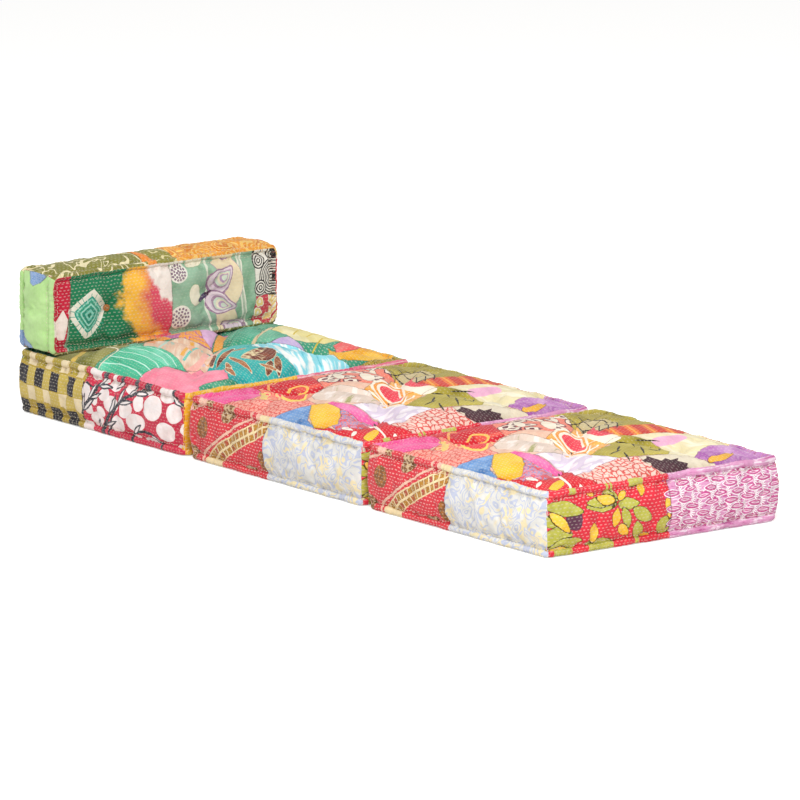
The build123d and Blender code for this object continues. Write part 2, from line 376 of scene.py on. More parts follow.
def cut_outline(points, step=9.0, wander=1.6):
    """Straight cuts between the corners, which wander a little as hand-cut cloth does."""
    ring = np.array(points, float)
    cut = []
    for k in range(len(ring)):
        start, end = ring[k], ring[(k + 1) % len(ring)]
        pieces = max(1, int(np.linalg.norm(end - start) / step))
        for f in np.arange(pieces) / pieces:
            cut.append(start + (end - start) * f)
    cut = np.array(cut)
    shift = [(noise.noise((x / 31, y / 31, 1.7)), noise.noise((x / 31, y / 31, 9.2))) for x, y in cut]
    return cut + wander * np.array(shift)


def turned(points, x, y, angle):
    """Points turned by an angle in degrees and set down at x, y."""
    c, s = math.cos(math.radians(angle)), math.sin(math.radians(angle))
    points = np.array(points, float)
    return np.stack([x + c * points[:, 0] - s * points[:, 1], y + s * points[:, 0] + c * points[:, 1]],
                    axis=-1)


def oval(x, y, wide, tall=None, angle=0, count=22):
    """An oval round x, y, or a circle where only its width is given."""
    tall = wide if tall is None else tall
    ring = [(math.cos(a) * wide / 2, math.sin(a) * tall / 2) for a in np.linspace(0, 2 * math.pi, count,
                                                                                  False)]
    return turned(ring, x, y, angle)


def leaf(x, y, long, wide, angle):
    """A pointed leaf that grows from x, y."""
    ring = [(0, 0), (0.3, 0.42), (0.62, 0.44), (1, 0), (0.66, -0.4), (0.3, -0.46)]
    return turned(smooth_outline([(a * long, b * wide) for a, b in ring]), x, y, angle)


def drop(x, y, long, wide, angle, bend=0.35):
    """A paisley drop: a round foot and a tip that bends over."""
    ring = [(0, 0), (0.12, 0.4), (0.42, 0.5), (0.72, 0.3), (1, 0.1 + bend), (0.8, -0.12), (0.5, -0.42),
            (0.15, -0.4)]
    return turned(smooth_outline([(a * long, b * wide) for a, b in ring]), x, y, angle)


def ribbon(points, wide, step=6.0):
    """A strip of even width along a smooth open line."""
    line = [np.array(p, float) for p in points]
    line = [2 * line[0] - line[1], *line, 2 * line[-1] - line[-2]]
    middle = []
    for p0, p1, p2, p3 in zip(line, line[1:], line[2:], line[3:]):
        pieces = max(2, int(np.linalg.norm(p2 - p1) / step))
        middle += [curve(f, p0, p1, p2, p3) for f in np.arange(pieces) / pieces]
    middle = np.array(middle + [line[-2]])
    along = np.gradient(middle, axis=0)
    across = np.stack([-along[:, 1], along[:, 0]], axis=-1)
    across *= wide / 2 / np.linalg.norm(across, axis=1, keepdims=True)
    return np.concatenate([middle + across, (middle - across)[::-1]])


def scrap(outline, fabric, ground, pattern=None, accent=None, size=20, turn=0, thread="efe6d2",
          stitched=0.4):
    """A scrap of cloth sewn to the panel."""
    return {"outline": np.array(outline, float), "fabric": fabric, "ground": ground,
            "pattern": pattern or ground, "accent": accent or pattern or ground, "size": size,
            "turn": turn, "thread": thread, "stitched": stitched, "sewn": True, "lined": False}


def motif(outline, ground, fabric="plain_cotton", lined=False, **rest):
    """A shape printed on the scrap below it, with a drawn line round it if it is lined."""
    return {**scrap(outline, fabric, ground, **rest), "sewn": False, "lined": lined}


def inside(points, outline):
    """Which points lie inside a closed outline."""
    low, high = outline.min(axis=0), outline.max(axis=0)
    found = np.zeros(len(points), bool)
    near = np.flatnonzero(((points >= low) & (points <= high)).all(axis=1))
    if not len(near):
        return found
    x, y = points[near, 0], points[near, 1]
    odd = np.zeros(len(near), bool)
    for (ax, ay), (bx, by) in zip(outline, np.roll(outline, -1, axis=0)):
        if ay != by:
            crosses = (ay > y) != (by > y)
            odd ^= crosses & (x < (bx - ax) * (y - ay) / (by - ay) + ax)
    found[near] = odd
    return found


def cut_flat(span, scraps, pitch, seed):
    """Cut a flat panel into triangles along every outline: points, triangles, and each one's scrap."""
    low_x, low_y, high_x, high_y = span
    rng = random.Random(seed)
    points = [Vector(corner) for corner in ((low_x, low_y), (high_x, low_y), (high_x, high_y),
                                            (low_x, high_y))]
    edges = [(0, 1), (1, 2), (2, 3), (3, 0)]
    across, up = round((high_x - low_x) / pitch), round((high_y - low_y) / pitch)
    for i in range(across + 1):
        for j in range(up + 1):
            x, y = low_x + (high_x - low_x) * i / across, low_y + (high_y - low_y) * j / up
            if 0 < i < across:
                x += rng.uniform(-0.22, 0.22) * pitch
            if 0 < j < up:
                y += rng.uniform(-0.22, 0.22) * pitch
            points.append(Vector((x, y)))
    for piece in scraps:
        first, count = len(points), len(piece["outline"])
        points += [Vector(p) for p in piece["outline"].tolist()]
        edges += [(first + k, first + (k + 1) % count) for k in range(count)]
    found = delaunay_2d_cdt(points, edges, [], 0, 0.01)
    flat, triangles = np.array([tuple(p) for p in found[0]]), np.array(found[2])
    middle = flat[triangles].mean(axis=1)
    kept = (middle[:, 0] > low_x) & (middle[:, 0] < high_x) & (middle[:, 1] > low_y) & (middle[:,
                                                                                               1] < high_y)
    triangles, middle = triangles[kept], middle[kept]
    used, renumbered = np.unique(triangles, return_inverse=True)
    owner, sheet = np.zeros(len(triangles), int), np.zeros(len(triangles), int)
    for number, piece in enumerate(scraps):
        here = inside(middle, piece["outline"])
        owner[here] = number
        if piece["sewn"]:
            sheet[here] = number
    return flat[used], renumbered.reshape(-1, 3), owner, sheet


def distance_to_borders(flat, triangles, group, farthest=30.0):
    """Distance of each point to the nearest edge between triangles of different groups."""
    sides = np.sort(np.concatenate([triangles[:, [0, 1]], triangles[:, [1, 2]], triangles[:, [2, 0]]]),
                    axis=1)
    of_group = np.tile(group, 3)
    order = np.lexsort((sides[:, 1], sides[:, 0]))
    sides, of_group = sides[order], of_group[order]
    twins = (sides[1:] == sides[:-1]).all(axis=1) & (of_group[1:] != of_group[:-1])
    border = np.unique(sides[1:][twins])
    if not len(border):
        return np.full(len(flat), farthest)
    tree = kdtree.KDTree(len(border))
    for k, point in enumerate(border):
        tree.insert((*flat[point], 0), k)
    tree.balance()
    return np.array([min(farthest, tree.find((x, y, 0))[2]) for x, y in flat])


def set_attribute(mesh, name, kind, domain, values):
    """Write one value for each point, corner or face of a mesh."""
    field = {"FLOAT": "value", "FLOAT_VECTOR": "vector", "FLOAT_COLOR": "color"}[kind]
    made = mesh.attributes.new(name, kind, domain)
    made.data.foreach_set(field, np.ascontiguousarray(values, dtype=np.float32).ravel())


def dress(mesh, x, y, owner, scraps, seam_mm, line_mm):
    """Give a mesh what its cottons read. x and y are each face corner's place on the flat cloth."""
    for role in ("ground", "pattern", "accent", "thread"):
        colours = np.array([linear(piece[role]) for piece in scraps])
        set_attribute(mesh, role, "FLOAT_COLOR", "FACE", colours[owner])
    for name, role in (("motif_mm", "size"), ("stitched", "stitched"), ("lined", "lined")):
        values = np.array([float(piece[role]) for piece in scraps])
        set_attribute(mesh, name, "FLOAT", "FACE", values[owner])
    per_corner = owner.repeat(len(x) // len(owner))
    turn = np.radians(np.array([piece["turn"] for piece in scraps]))[per_corner]
    cloth = np.stack([np.cos(turn) * x + np.sin(turn) * y, np.cos(turn) * y - np.sin(turn) * x,
                      per_corner * 37.0], axis=-1)
    set_attribute(mesh, "cloth_mm", "FLOAT_VECTOR", "CORNER", cloth)
    set_attribute(mesh, "seam_mm", "FLOAT", "POINT", seam_mm)
    set_attribute(mesh, "line_mm", "FLOAT", "POINT", line_mm)
    fabrics = sorted({piece["fabric"] for piece in scraps})
    for fabric in fabrics:
        mesh.materials.append(bpy.data.materials[fabric])
    slots = np.array([fabrics.index(piece["fabric"]) for piece in scraps])[owner]
    mesh.polygons.foreach_set("material_index", slots.astype(np.int32))
    mesh.polygons.foreach_set("use_smooth", np.ones(len(owner), bool))
    real = mesh.uv_layers.new(name="real_size")
    real.data.foreach_set("uv", (np.stack([x, y], axis=-1) * MM).astype(np.float32).ravel())


cloth_thickness = 2.4 * MM
edge_seam_mm = 13.0
gather_mm = 22


def flat_place(body, face, u, v, w):
    """Where a point of a face lies on the flat panel: x to the right and y up, as seen from outside."""
    along_u, along_v, along_w = (body.reach_u + u) / MM, (body.reach_v + v) / MM, (body.roll + w) / MM
    whole_u, whole_v = 2 * body.reach_u / MM, 2 * body.reach_v / MM
    return {"w+": (along_u, along_v), "w-": (whole_u - along_u, along_v),
            "v-": (along_u, along_w), "v+": (whole_u - along_u, along_w),
            "u+": (along_v, along_w), "u-": (whole_v - along_v, along_w)}[face]


def sew_panel(node, body, net, face, scraps, seed, tufts=(), pitch=5.0):
    """Sew one panel and lay it over its face of the cushion's net, outside out."""
    grid = net_face(net, face)
    if face in ("v+", "u-", "w-"):
        grid = grid[::-1]
    corners = [flat_place(body, face, u, v, w) for u in (-body.half_u, body.half_u)
               for v in (-body.half_v, body.half_v) for w in (0, body.depth)]
    span = (*np.min(corners, axis=0), *np.max(corners, axis=0))
    flat, triangles, owner, sheet = cut_flat(span, scraps, pitch, seed)
    low_x, low_y, high_x, high_y = span
    s, t = (flat[:, 0] - low_x) / (high_x - low_x), (flat[:, 1] - low_y) / (high_y - low_y)
    there = between(grid, s, t)
    along = between(grid, s + 0.01, t) - between(grid, s - 0.01, t)
    up = between(grid, s, t + 0.01) - between(grid, s, t - 0.01)
    out = np.cross(along, up)
    out /= np.linalg.norm(out, axis=1, keepdims=True) + 1e-12
    seam_mm = distance_to_borders(flat, triangles, sheet)
    lined = np.array([k if piece["lined"] else -1 for k, piece in enumerate(scraps)])[owner]
    line_mm = distance_to_borders(flat, triangles, lined)
    edge_mm = np.minimum.reduce([flat[:, 0] - low_x, high_x - flat[:, 0],
                                 flat[:, 1] - low_y, high_y - flat[:, 1]])

    # Relief in millimetres: ripples, soft creases, and a valley along each seam
    ripple = np.array([noise.noise((x / 11, y / 11, seed)) for x, y in flat])
    crease = np.array([1 - abs(noise.noise((x / 34, y / 34, seed + 0.5))) * 3 for x, y in flat])
    relief = 0.7 * ripple - 1.2 * np.clip(crease, 0, 1) ** 2 - 1.3 * np.exp(-(seam_mm / 3.4) ** 2)

    # The quilting line gathers the cloth: a groove, with short pleats that run out of it both ways
    from_side = np.minimum(flat[:, 0] - low_x, high_x - flat[:, 0])
    from_end = np.minimum(flat[:, 1] - low_y, high_y - flat[:, 1])
    run = np.where(from_side < from_end, flat[:, 1], flat[:, 0])
    pleat = np.array([math.sin(x / 3.4 + 5 * noise.noise((x / 40, seed, 4.4)))
                      + 1.4 * noise.noise((x / 9, seed, 8.1)) for x in run])
    relief += 0.9 * pleat * np.exp(-((edge_mm - edge_seam_mm) / 15) ** 2)
    relief -= 2.8 * np.exp(-((edge_mm - edge_seam_mm) / 3.6) ** 2)

    # Seven gathers run out of each tuft
    for tuft_u, tuft_v in tufts:
        tuft_x, tuft_y = flat_place(body, face, tuft_u, tuft_v, 0)
        from_tuft = np.hypot(flat[:, 0] - tuft_x, flat[:, 1] - tuft_y)
        bearing = np.arctan2(flat[:, 1] - tuft_y, flat[:, 0] - tuft_x)
        gathers = np.cos(7 * bearing + 1.5 * np.sin(2 * bearing + tuft_x) + seed)
        fades = (from_tuft / gather_mm) * np.exp(1 - from_tuft / gather_mm)
        relief += 2.6 * gathers * fades * np.minimum(1, from_tuft / 12)
    relief = np.where(edge_mm < 2, 0, relief)
    if node.endswith("underside_panel"):
        # The floor presses it flat
        relief = np.minimum(relief, 0)
    there = there + out * relief[:, None] * MM
    panel = new_object(node + "_cloth", body.place(*there.T), triangles.tolist())
    at_corner = flat[triangles.ravel()]
    dress(panel.data, at_corner[:, 0], at_corner[:, 1], owner, scraps, seam_mm, line_mm)
    shell = panel.modifiers.new("cloth thickness", "SOLIDIFY")
    shell.thickness = cloth_thickness
    shell.offset = -1
    if node.endswith("band"):
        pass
    elif node.endswith("underside_panel"):
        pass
    else:
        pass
    stuffed(panel, body, node)


def stuffed(piece, body, node):
    """A padded piece of a cushion, in place of its CAD node."""
    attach(piece, body.name)
    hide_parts(node)


# The cottons: handloom cotton, block-printed, tie-dyed or plain, washed soft. What the eye gets is
# a matt cloth with a coarse weave, faded in places, and rows of running stitch that ripple it.

def printed_cotton(name, draw):
    """A cotton whose print is drawn by a function from the colours of the scrap."""
    _, tree, output = new_material(name)
    cloth = add(tree, "Attribute", attribute_name="cloth_mm").outputs["Vector"]
    colours = [add(tree, "Attribute", attribute_name=role).outputs["Color"]
               for role in ("ground", "pattern", "accent")]
    size = add(tree, "Attribute", attribute_name="motif_mm").outputs["Fac"]
    per_motif = add(tree, "Math", {0: 1.0, 1: size}, operation="DIVIDE")
    in_motifs = add(tree, "VectorMath", {0: cloth, "Scale": per_motif}, operation="SCALE")
    printed = draw(tree, in_motifs, *colours)

    # A drawn line round printed shapes, and painted shade that darkens the cloth along each seam's valley
    line = add(tree, "Attribute", attribute_name="line_mm").outputs["Fac"]
    lined = add(tree, "Attribute", attribute_name="lined").outputs["Fac"]
    on_line = add(tree, "Math", {0: line, 1: 1.5}, operation="LESS_THAN")
    on_line = add(tree, "Math", {0: on_line, 1: lined}, operation="MULTIPLY")
    printed = add(tree, "MixRGB", {0: on_line, 1: printed, 2: colours[2]})
    seam = add(tree, "Attribute", attribute_name="seam_mm").outputs["Fac"]
    # Painted shade: within 2.5 mm of a seam the colour is mixed towards dark brown
    painted_seam_shade = add(tree, "MapRange", {0: seam, 1: 0.0, 2: 2.5, 3: 0.6, 4: 0.0}).outputs[0]
    printed = add(tree, "MixRGB", {0: painted_seam_shade, 1: printed, 2: linear("3a2420")})

    # Rows of running stitch, 8 mm apart and drawn as coarse as they need to show
    thread = add(tree, "Attribute", attribute_name="thread").outputs["Color"]
    stitched = add(tree, "Attribute", attribute_name="stitched").outputs["Fac"]
    wander = add(tree, "TexNoise", {"Vector": cloth, "Scale": 0.03, "Detail": 1.0})
    wander = add(tree, "VectorMath", {0: wander.outputs["Color"], 1: (9.0, 9.0, 0.0)}, operation="MULTIPLY")
    rows = add(tree, "VectorMath", {0: cloth, 1: wander}, operation="ADD")
    stitches = add(tree, "TexBrick", {"Vector": rows, "Color1": thread, "Color2": thread, "Mortar": printed,
                                      "Scale": 1.0, "Mortar Size": 3.2, "Mortar Smooth": 0.25,
                                      "Brick Width": 11.0, "Row Height": 8.0}, offset=0.5)
    showing = add(tree, "Math", {0: stitched, 1: 0.62}, operation="MULTIPLY")
    sewn = add(tree, "MixRGB", {0: showing, 1: printed, 2: stitches.outputs["Color"]})

    # Fading and handling, as slow changes of tone
    fading = add(tree, "TexNoise", {"Vector": cloth, "Scale": 0.021, "Detail": 3.0})
    tone = add(tree, "MapRange", {0: fading.outputs[0], 1: 0.3, 2: 0.7, 3: 0.84, 4: 1.06}).outputs[0]
    tone = add(tree, "CombineColor", {0: tone, 1: tone, 2: tone})
    worn = add(tree, "MixRGB", {0: 1.0, 1: sewn, 2: tone}, blend_type="MULTIPLY")

    # Height in millimetres: the weave, the ripple that each row of stitches pulls, and the threads
    warp = add(tree, "TexWave", {"Vector": cloth, "Scale": 0.22, "Distortion": 0.6}, bands_direction="X")
    weft = add(tree, "TexWave", {"Vector": cloth, "Scale": 0.22, "Distortion": 0.6}, bands_direction="Y")
    weave = add(tree, "Math", {0: warp.outputs["Fac"], 1: weft.outputs["Fac"]}, operation="MULTIPLY")
    ripple = add(tree, "TexNoise", {"Vector": rows, "Scale": 0.13, "Detail": 2.0})
    high = add(tree, "Math", {0: ripple.outputs[0], 1: 1.9}, operation="MULTIPLY")
    high = add(tree, "Math", {0: weave, 1: 0.16, 2: high}, operation="MULTIPLY_ADD")
    sunk = add(tree, "Math", {0: stitches.outputs["Fac"], 1: stitched}, operation="MULTIPLY")
    high = add(tree, "Math", {0: sunk, 1: 0.4, 2: high}, operation="MULTIPLY_ADD")
    bump = add(tree, "Bump", {"Height": high, "Strength": 0.85, "Distance": MM})
    shader = add(tree, "BsdfPrincipled", {"Base Color": worn, "Roughness": 0.88, "Specular IOR Level": 0.25,
                                          "Sheen Weight": 0.12, "Sheen Roughness": 0.5, "Normal": bump})
    tree.links.new(shader.outputs[0], output.inputs[0])


def draw_plain(tree, at, ground, pattern, accent):
    """Plain dyed cotton, a little uneven in its tone. It has no third colour."""
    cloud = add(tree, "TexNoise", {"Vector": at, "Scale": 0.7, "Detail": 3.0})
    share = add(tree, "MapRange", {0: cloud.outputs[0], 1: 0.4, 2: 0.68}).outputs[0]
    return add(tree, "MixRGB", {0: share, 1: ground, 2: pattern})


def draw_dots(tree, at, ground, pattern, accent):
    """Spots with an eye, in loose rows."""
    spots = add(tree, "TexVoronoi", {"Vector": at, "Scale": 1.0, "Randomness": 0.35},
                voronoi_dimensions="2D")
    big = add(tree, "Math", {0: spots.outputs["Distance"], 1: 0.31}, operation="LESS_THAN")
    small = add(tree, "Math", {0: spots.outputs["Distance"], 1: 0.13}, operation="LESS_THAN")
    dotted = add(tree, "MixRGB", {0: big, 1: ground, 2: pattern})
    return add(tree, "MixRGB", {0: small, 1: dotted, 2: accent})


def draw_tendrils(tree, at, ground, pattern, accent):
    """Thin curling lines, as on vine and scroll prints."""
    cloud = add(tree, "TexNoise", {"Vector": at, "Scale": 0.55, "Detail": 1.0, "Distortion": 0.9})
    level = add(tree, "Math", {0: cloud.outputs[0], 1: 7.0}, operation="MULTIPLY")
    level = add(tree, "Math", {0: level}, operation="FRACT")
    line = add(tree, "Math", {0: level, 1: 0.5, 2: 0.1}, operation="COMPARE")
    fill = add(tree, "Math", {0: cloud.outputs[0], 1: 0.6}, operation="GREATER_THAN")
    filled = add(tree, "MixRGB", {0: fill, 1: ground, 2: accent})
    return add(tree, "MixRGB", {0: line, 1: filled, 2: pattern})


def draw_dye(tree, at, ground, pattern, accent):
    """Tie-dye: the colours bleed into each other."""
    cloud = add(tree, "TexNoise", {"Vector": at, "Scale": 0.9, "Detail": 4.0, "Distortion": 0.5})
    other = add(tree, "TexNoise", {"Vector": at, "Scale": 0.6, "Detail": 2.0, "Distortion": 1.2})
    first = add(tree, "MapRange", {0: cloud.outputs[0], 1: 0.42, 2: 0.6}).outputs[0]
    second = add(tree, "MapRange", {0: other.outputs[0], 1: 0.54, 2: 0.66}).outputs[0]
    bled = add(tree, "MixRGB", {0: first, 1: ground, 2: pattern})
    return add(tree, "MixRGB", {0: second, 1: bled, 2: accent})


def draw_stripes(tree, at, ground, pattern, accent):
    """A broad and a fine stripe in each repeat."""
    across = add(tree, "SeparateXYZ", {0: at}).outputs["X"]
    turn = add(tree, "Math", {0: across}, operation="FRACT")
    band = add(tree, "Math", {0: turn, 1: 0.25, 2: 0.25}, operation="COMPARE")
    fine = add(tree, "Math", {0: turn, 1: 0.75, 2: 0.06}, operation="COMPARE")
    striped = add(tree, "MixRGB", {0: band, 1: ground, 2: pattern})
    return add(tree, "MixRGB", {0: fine, 1: striped, 2: accent})


def draw_blooms(tree, at, ground, pattern, accent):
    """Crowded small flowers: a dark eye, petals, and the ground between."""
    warp = add(tree, "TexNoise", {"Vector": at, "Scale": 2.2, "Detail": 1.0})
    shifted = add(tree, "VectorMath", {0: warp.outputs["Color"], 1: (0.5, 0.5, 0.0), 2: at},
                  operation="MULTIPLY_ADD")
    spots = add(tree, "TexVoronoi", {"Vector": shifted, "Scale": 1.0, "Randomness": 0.9},
                voronoi_dimensions="2D")
    petals = add(tree, "Math", {0: spots.outputs["Distance"], 1: 0.42}, operation="LESS_THAN")
    eye = add(tree, "Math", {0: spots.outputs["Distance"], 1: 0.17}, operation="LESS_THAN")
    rim = add(tree, "Math", {0: spots.outputs["Distance"], 1: 0.42, 2: 0.045}, operation="COMPARE")
    flowers = add(tree, "MixRGB", {0: petals, 1: ground, 2: pattern})
    dark = add(tree, "Math", {0: eye, 1: rim}, operation="MAXIMUM")
    return add(tree, "MixRGB", {0: dark, 1: flowers, 2: accent})


def draw_sketch(tree, at, ground, pattern, accent):
    """Dry brush strokes that run one way."""
    long = add(tree, "VectorMath", {0: at, 1: (0.3, 2.0, 1.0)}, operation="MULTIPLY")
    strokes = add(tree, "TexNoise", {"Vector": long, "Scale": 1.0, "Detail": 4.0, "Distortion": 0.3})
    light = add(tree, "MapRange", {0: strokes.outputs[0], 1: 0.52, 2: 0.6}).outputs[0]
    dark = add(tree, "MapRange", {0: strokes.outputs[0], 1: 0.4, 2: 0.33}).outputs[0]
    brushed = add(tree, "MixRGB", {0: light, 1: ground, 2: pattern})
    return add(tree, "MixRGB", {0: dark, 1: brushed, 2: accent})


def draw_cells(tree, at, ground, pattern, accent):
    """Pebbles with the ground as a net between them."""
    warp = add(tree, "TexNoise", {"Vector": at, "Scale": 1.3, "Detail": 0.0})
    shifted = add(tree, "VectorMath", {0: warp.outputs["Color"], 1: (0.7, 0.7, 0.0), 2: at},
                  operation="MULTIPLY_ADD")
    edge = add(tree, "TexVoronoi", {"Vector": shifted, "Scale": 1.0, "Randomness": 0.75},
               voronoi_dimensions="2D", feature="DISTANCE_TO_EDGE")
    cell = add(tree, "MapRange", {0: edge.outputs[0], 1: 0.1, 2: 0.14}).outputs[0]
    heart = add(tree, "MapRange", {0: edge.outputs[0], 1: 0.4, 2: 0.46}).outputs[0]
    pebbles = add(tree, "MixRGB", {0: cell, 1: ground, 2: pattern})
    return add(tree, "MixRGB", {0: heart, 1: pebbles, 2: accent})


def draw_scrolls(tree, at, ground, pattern, accent):
    """Marbled curls: contour lines of a twisted cloud, with tinted pools."""
    cloud = add(tree, "TexNoise", {"Vector": at, "Scale": 0.9, "Detail": 0.5, "Distortion": 1.1})
    level = add(tree, "Math", {0: cloud.outputs[0], 1: 7.0}, operation="MULTIPLY")
    level = add(tree, "Math", {0: level}, operation="FRACT")
    line = add(tree, "Math", {0: level, 1: 0.5, 2: 0.16}, operation="COMPARE")
    pools = add(tree, "TexNoise", {"Vector": at, "Scale": 1.1, "Detail": 1.0, "Distortion": 0.8})
    tint = add(tree, "MapRange", {0: pools.outputs[0], 1: 0.52, 2: 0.58}).outputs[0]
    tinted = add(tree, "MixRGB", {0: tint, 1: ground, 2: accent})
    return add(tree, "MixRGB", {0: line, 1: tinted, 2: pattern})


def draw_bleed(tree, at, ground, pattern, accent):
    """Dip-dye from left to right through three colours, which creep into each other."""
    place = add(tree, "SeparateXYZ", {0: at})
    creep = add(tree, "TexNoise", {"Vector": at, "Scale": 2.2, "Detail": 6.0, "Roughness": 0.65})
    front = add(tree, "Math", {0: creep.outputs[0], 1: 1.15, 2: place.outputs["X"]},
                operation="MULTIPLY_ADD")
    bow = add(tree, "Math", {0: place.outputs["Y"], 1: 1.2}, operation="SUBTRACT")
    bow = add(tree, "Math", {0: bow, 1: bow}, operation="MULTIPLY")
    front = add(tree, "Math", {0: bow, 1: -0.65, 2: front}, operation="MULTIPLY_ADD")
    first = add(tree, "MapRange", {0: front, 1: 2.6, 2: 2.78}).outputs[0]
    second = add(tree, "MapRange", {0: front, 1: 3.1, 2: 3.6}).outputs[0]
    bled = add(tree, "MixRGB", {0: first, 1: ground, 2: pattern})
    bled = add(tree, "MixRGB", {0: second, 1: bled, 2: accent})
    # The dye didn't take in the upper right
    high = add(tree, "Math", {0: place.outputs["Y"], 1: 0.9, 2: front}, operation="MULTIPLY_ADD")
    bare = add(tree, "MapRange", {0: high, 1: 4.85, 2: 5.02}).outputs[0]
    return add(tree, "MixRGB", {0: bare, 1: bled, 2: linear("f6ebe2")})


printed_cotton("plain_cotton", draw_plain)
printed_cotton("dotted_cotton", draw_dots)
printed_cotton("tendril_printed_cotton", draw_tendrils)
printed_cotton("tie_dyed_cotton", draw_dye)
printed_cotton("striped_cotton", draw_stripes)
printed_cotton("flower_printed_cotton", draw_blooms)
printed_cotton("brush_printed_cotton", draw_sketch)
printed_cotton("dip_dyed_cotton", draw_bleed)
printed_cotton("pebble_printed_cotton", draw_cells)
printed_cotton("scroll_printed_cotton", draw_scrolls)


# The patchwork of the seats' tops, drawn on squares of 640 units that each cover a whole module. x
# runs from the head and y from the far side. Kantha cloth from old saris: block prints, tie-dye,
# paisley and vine prints, on red for the middle and foot modules and on greens for the head one.

whole_cloth = [(-60, -60), (900, -60), (900, 900), (-60, 900)]


def on_top(*points):
    """Points of the 640-unit square, in millimetres on the flat top."""
    unit = 700 / 640
    return [(x * unit, 700 - y * unit) for x, y in points]


def as_drawn(*points):
    """Points that are in millimetres on the flat panel as they stand."""
    return points


def start_panel(*cloth, lay=as_drawn, **rest):
    """A panel's list of scraps, and the functions that sew a scrap or stamp a printed shape on it."""
    panel = [scrap(whole_cloth, *cloth, **rest)]

    def sew(points, *cloth, **rest):
        panel.append(scrap(cut_outline(lay(*points)), *cloth, **rest))

    def stamp(outline, ground, **rest):
        panel.append(motif(outline, ground, **rest))

    return panel, sew, stamp


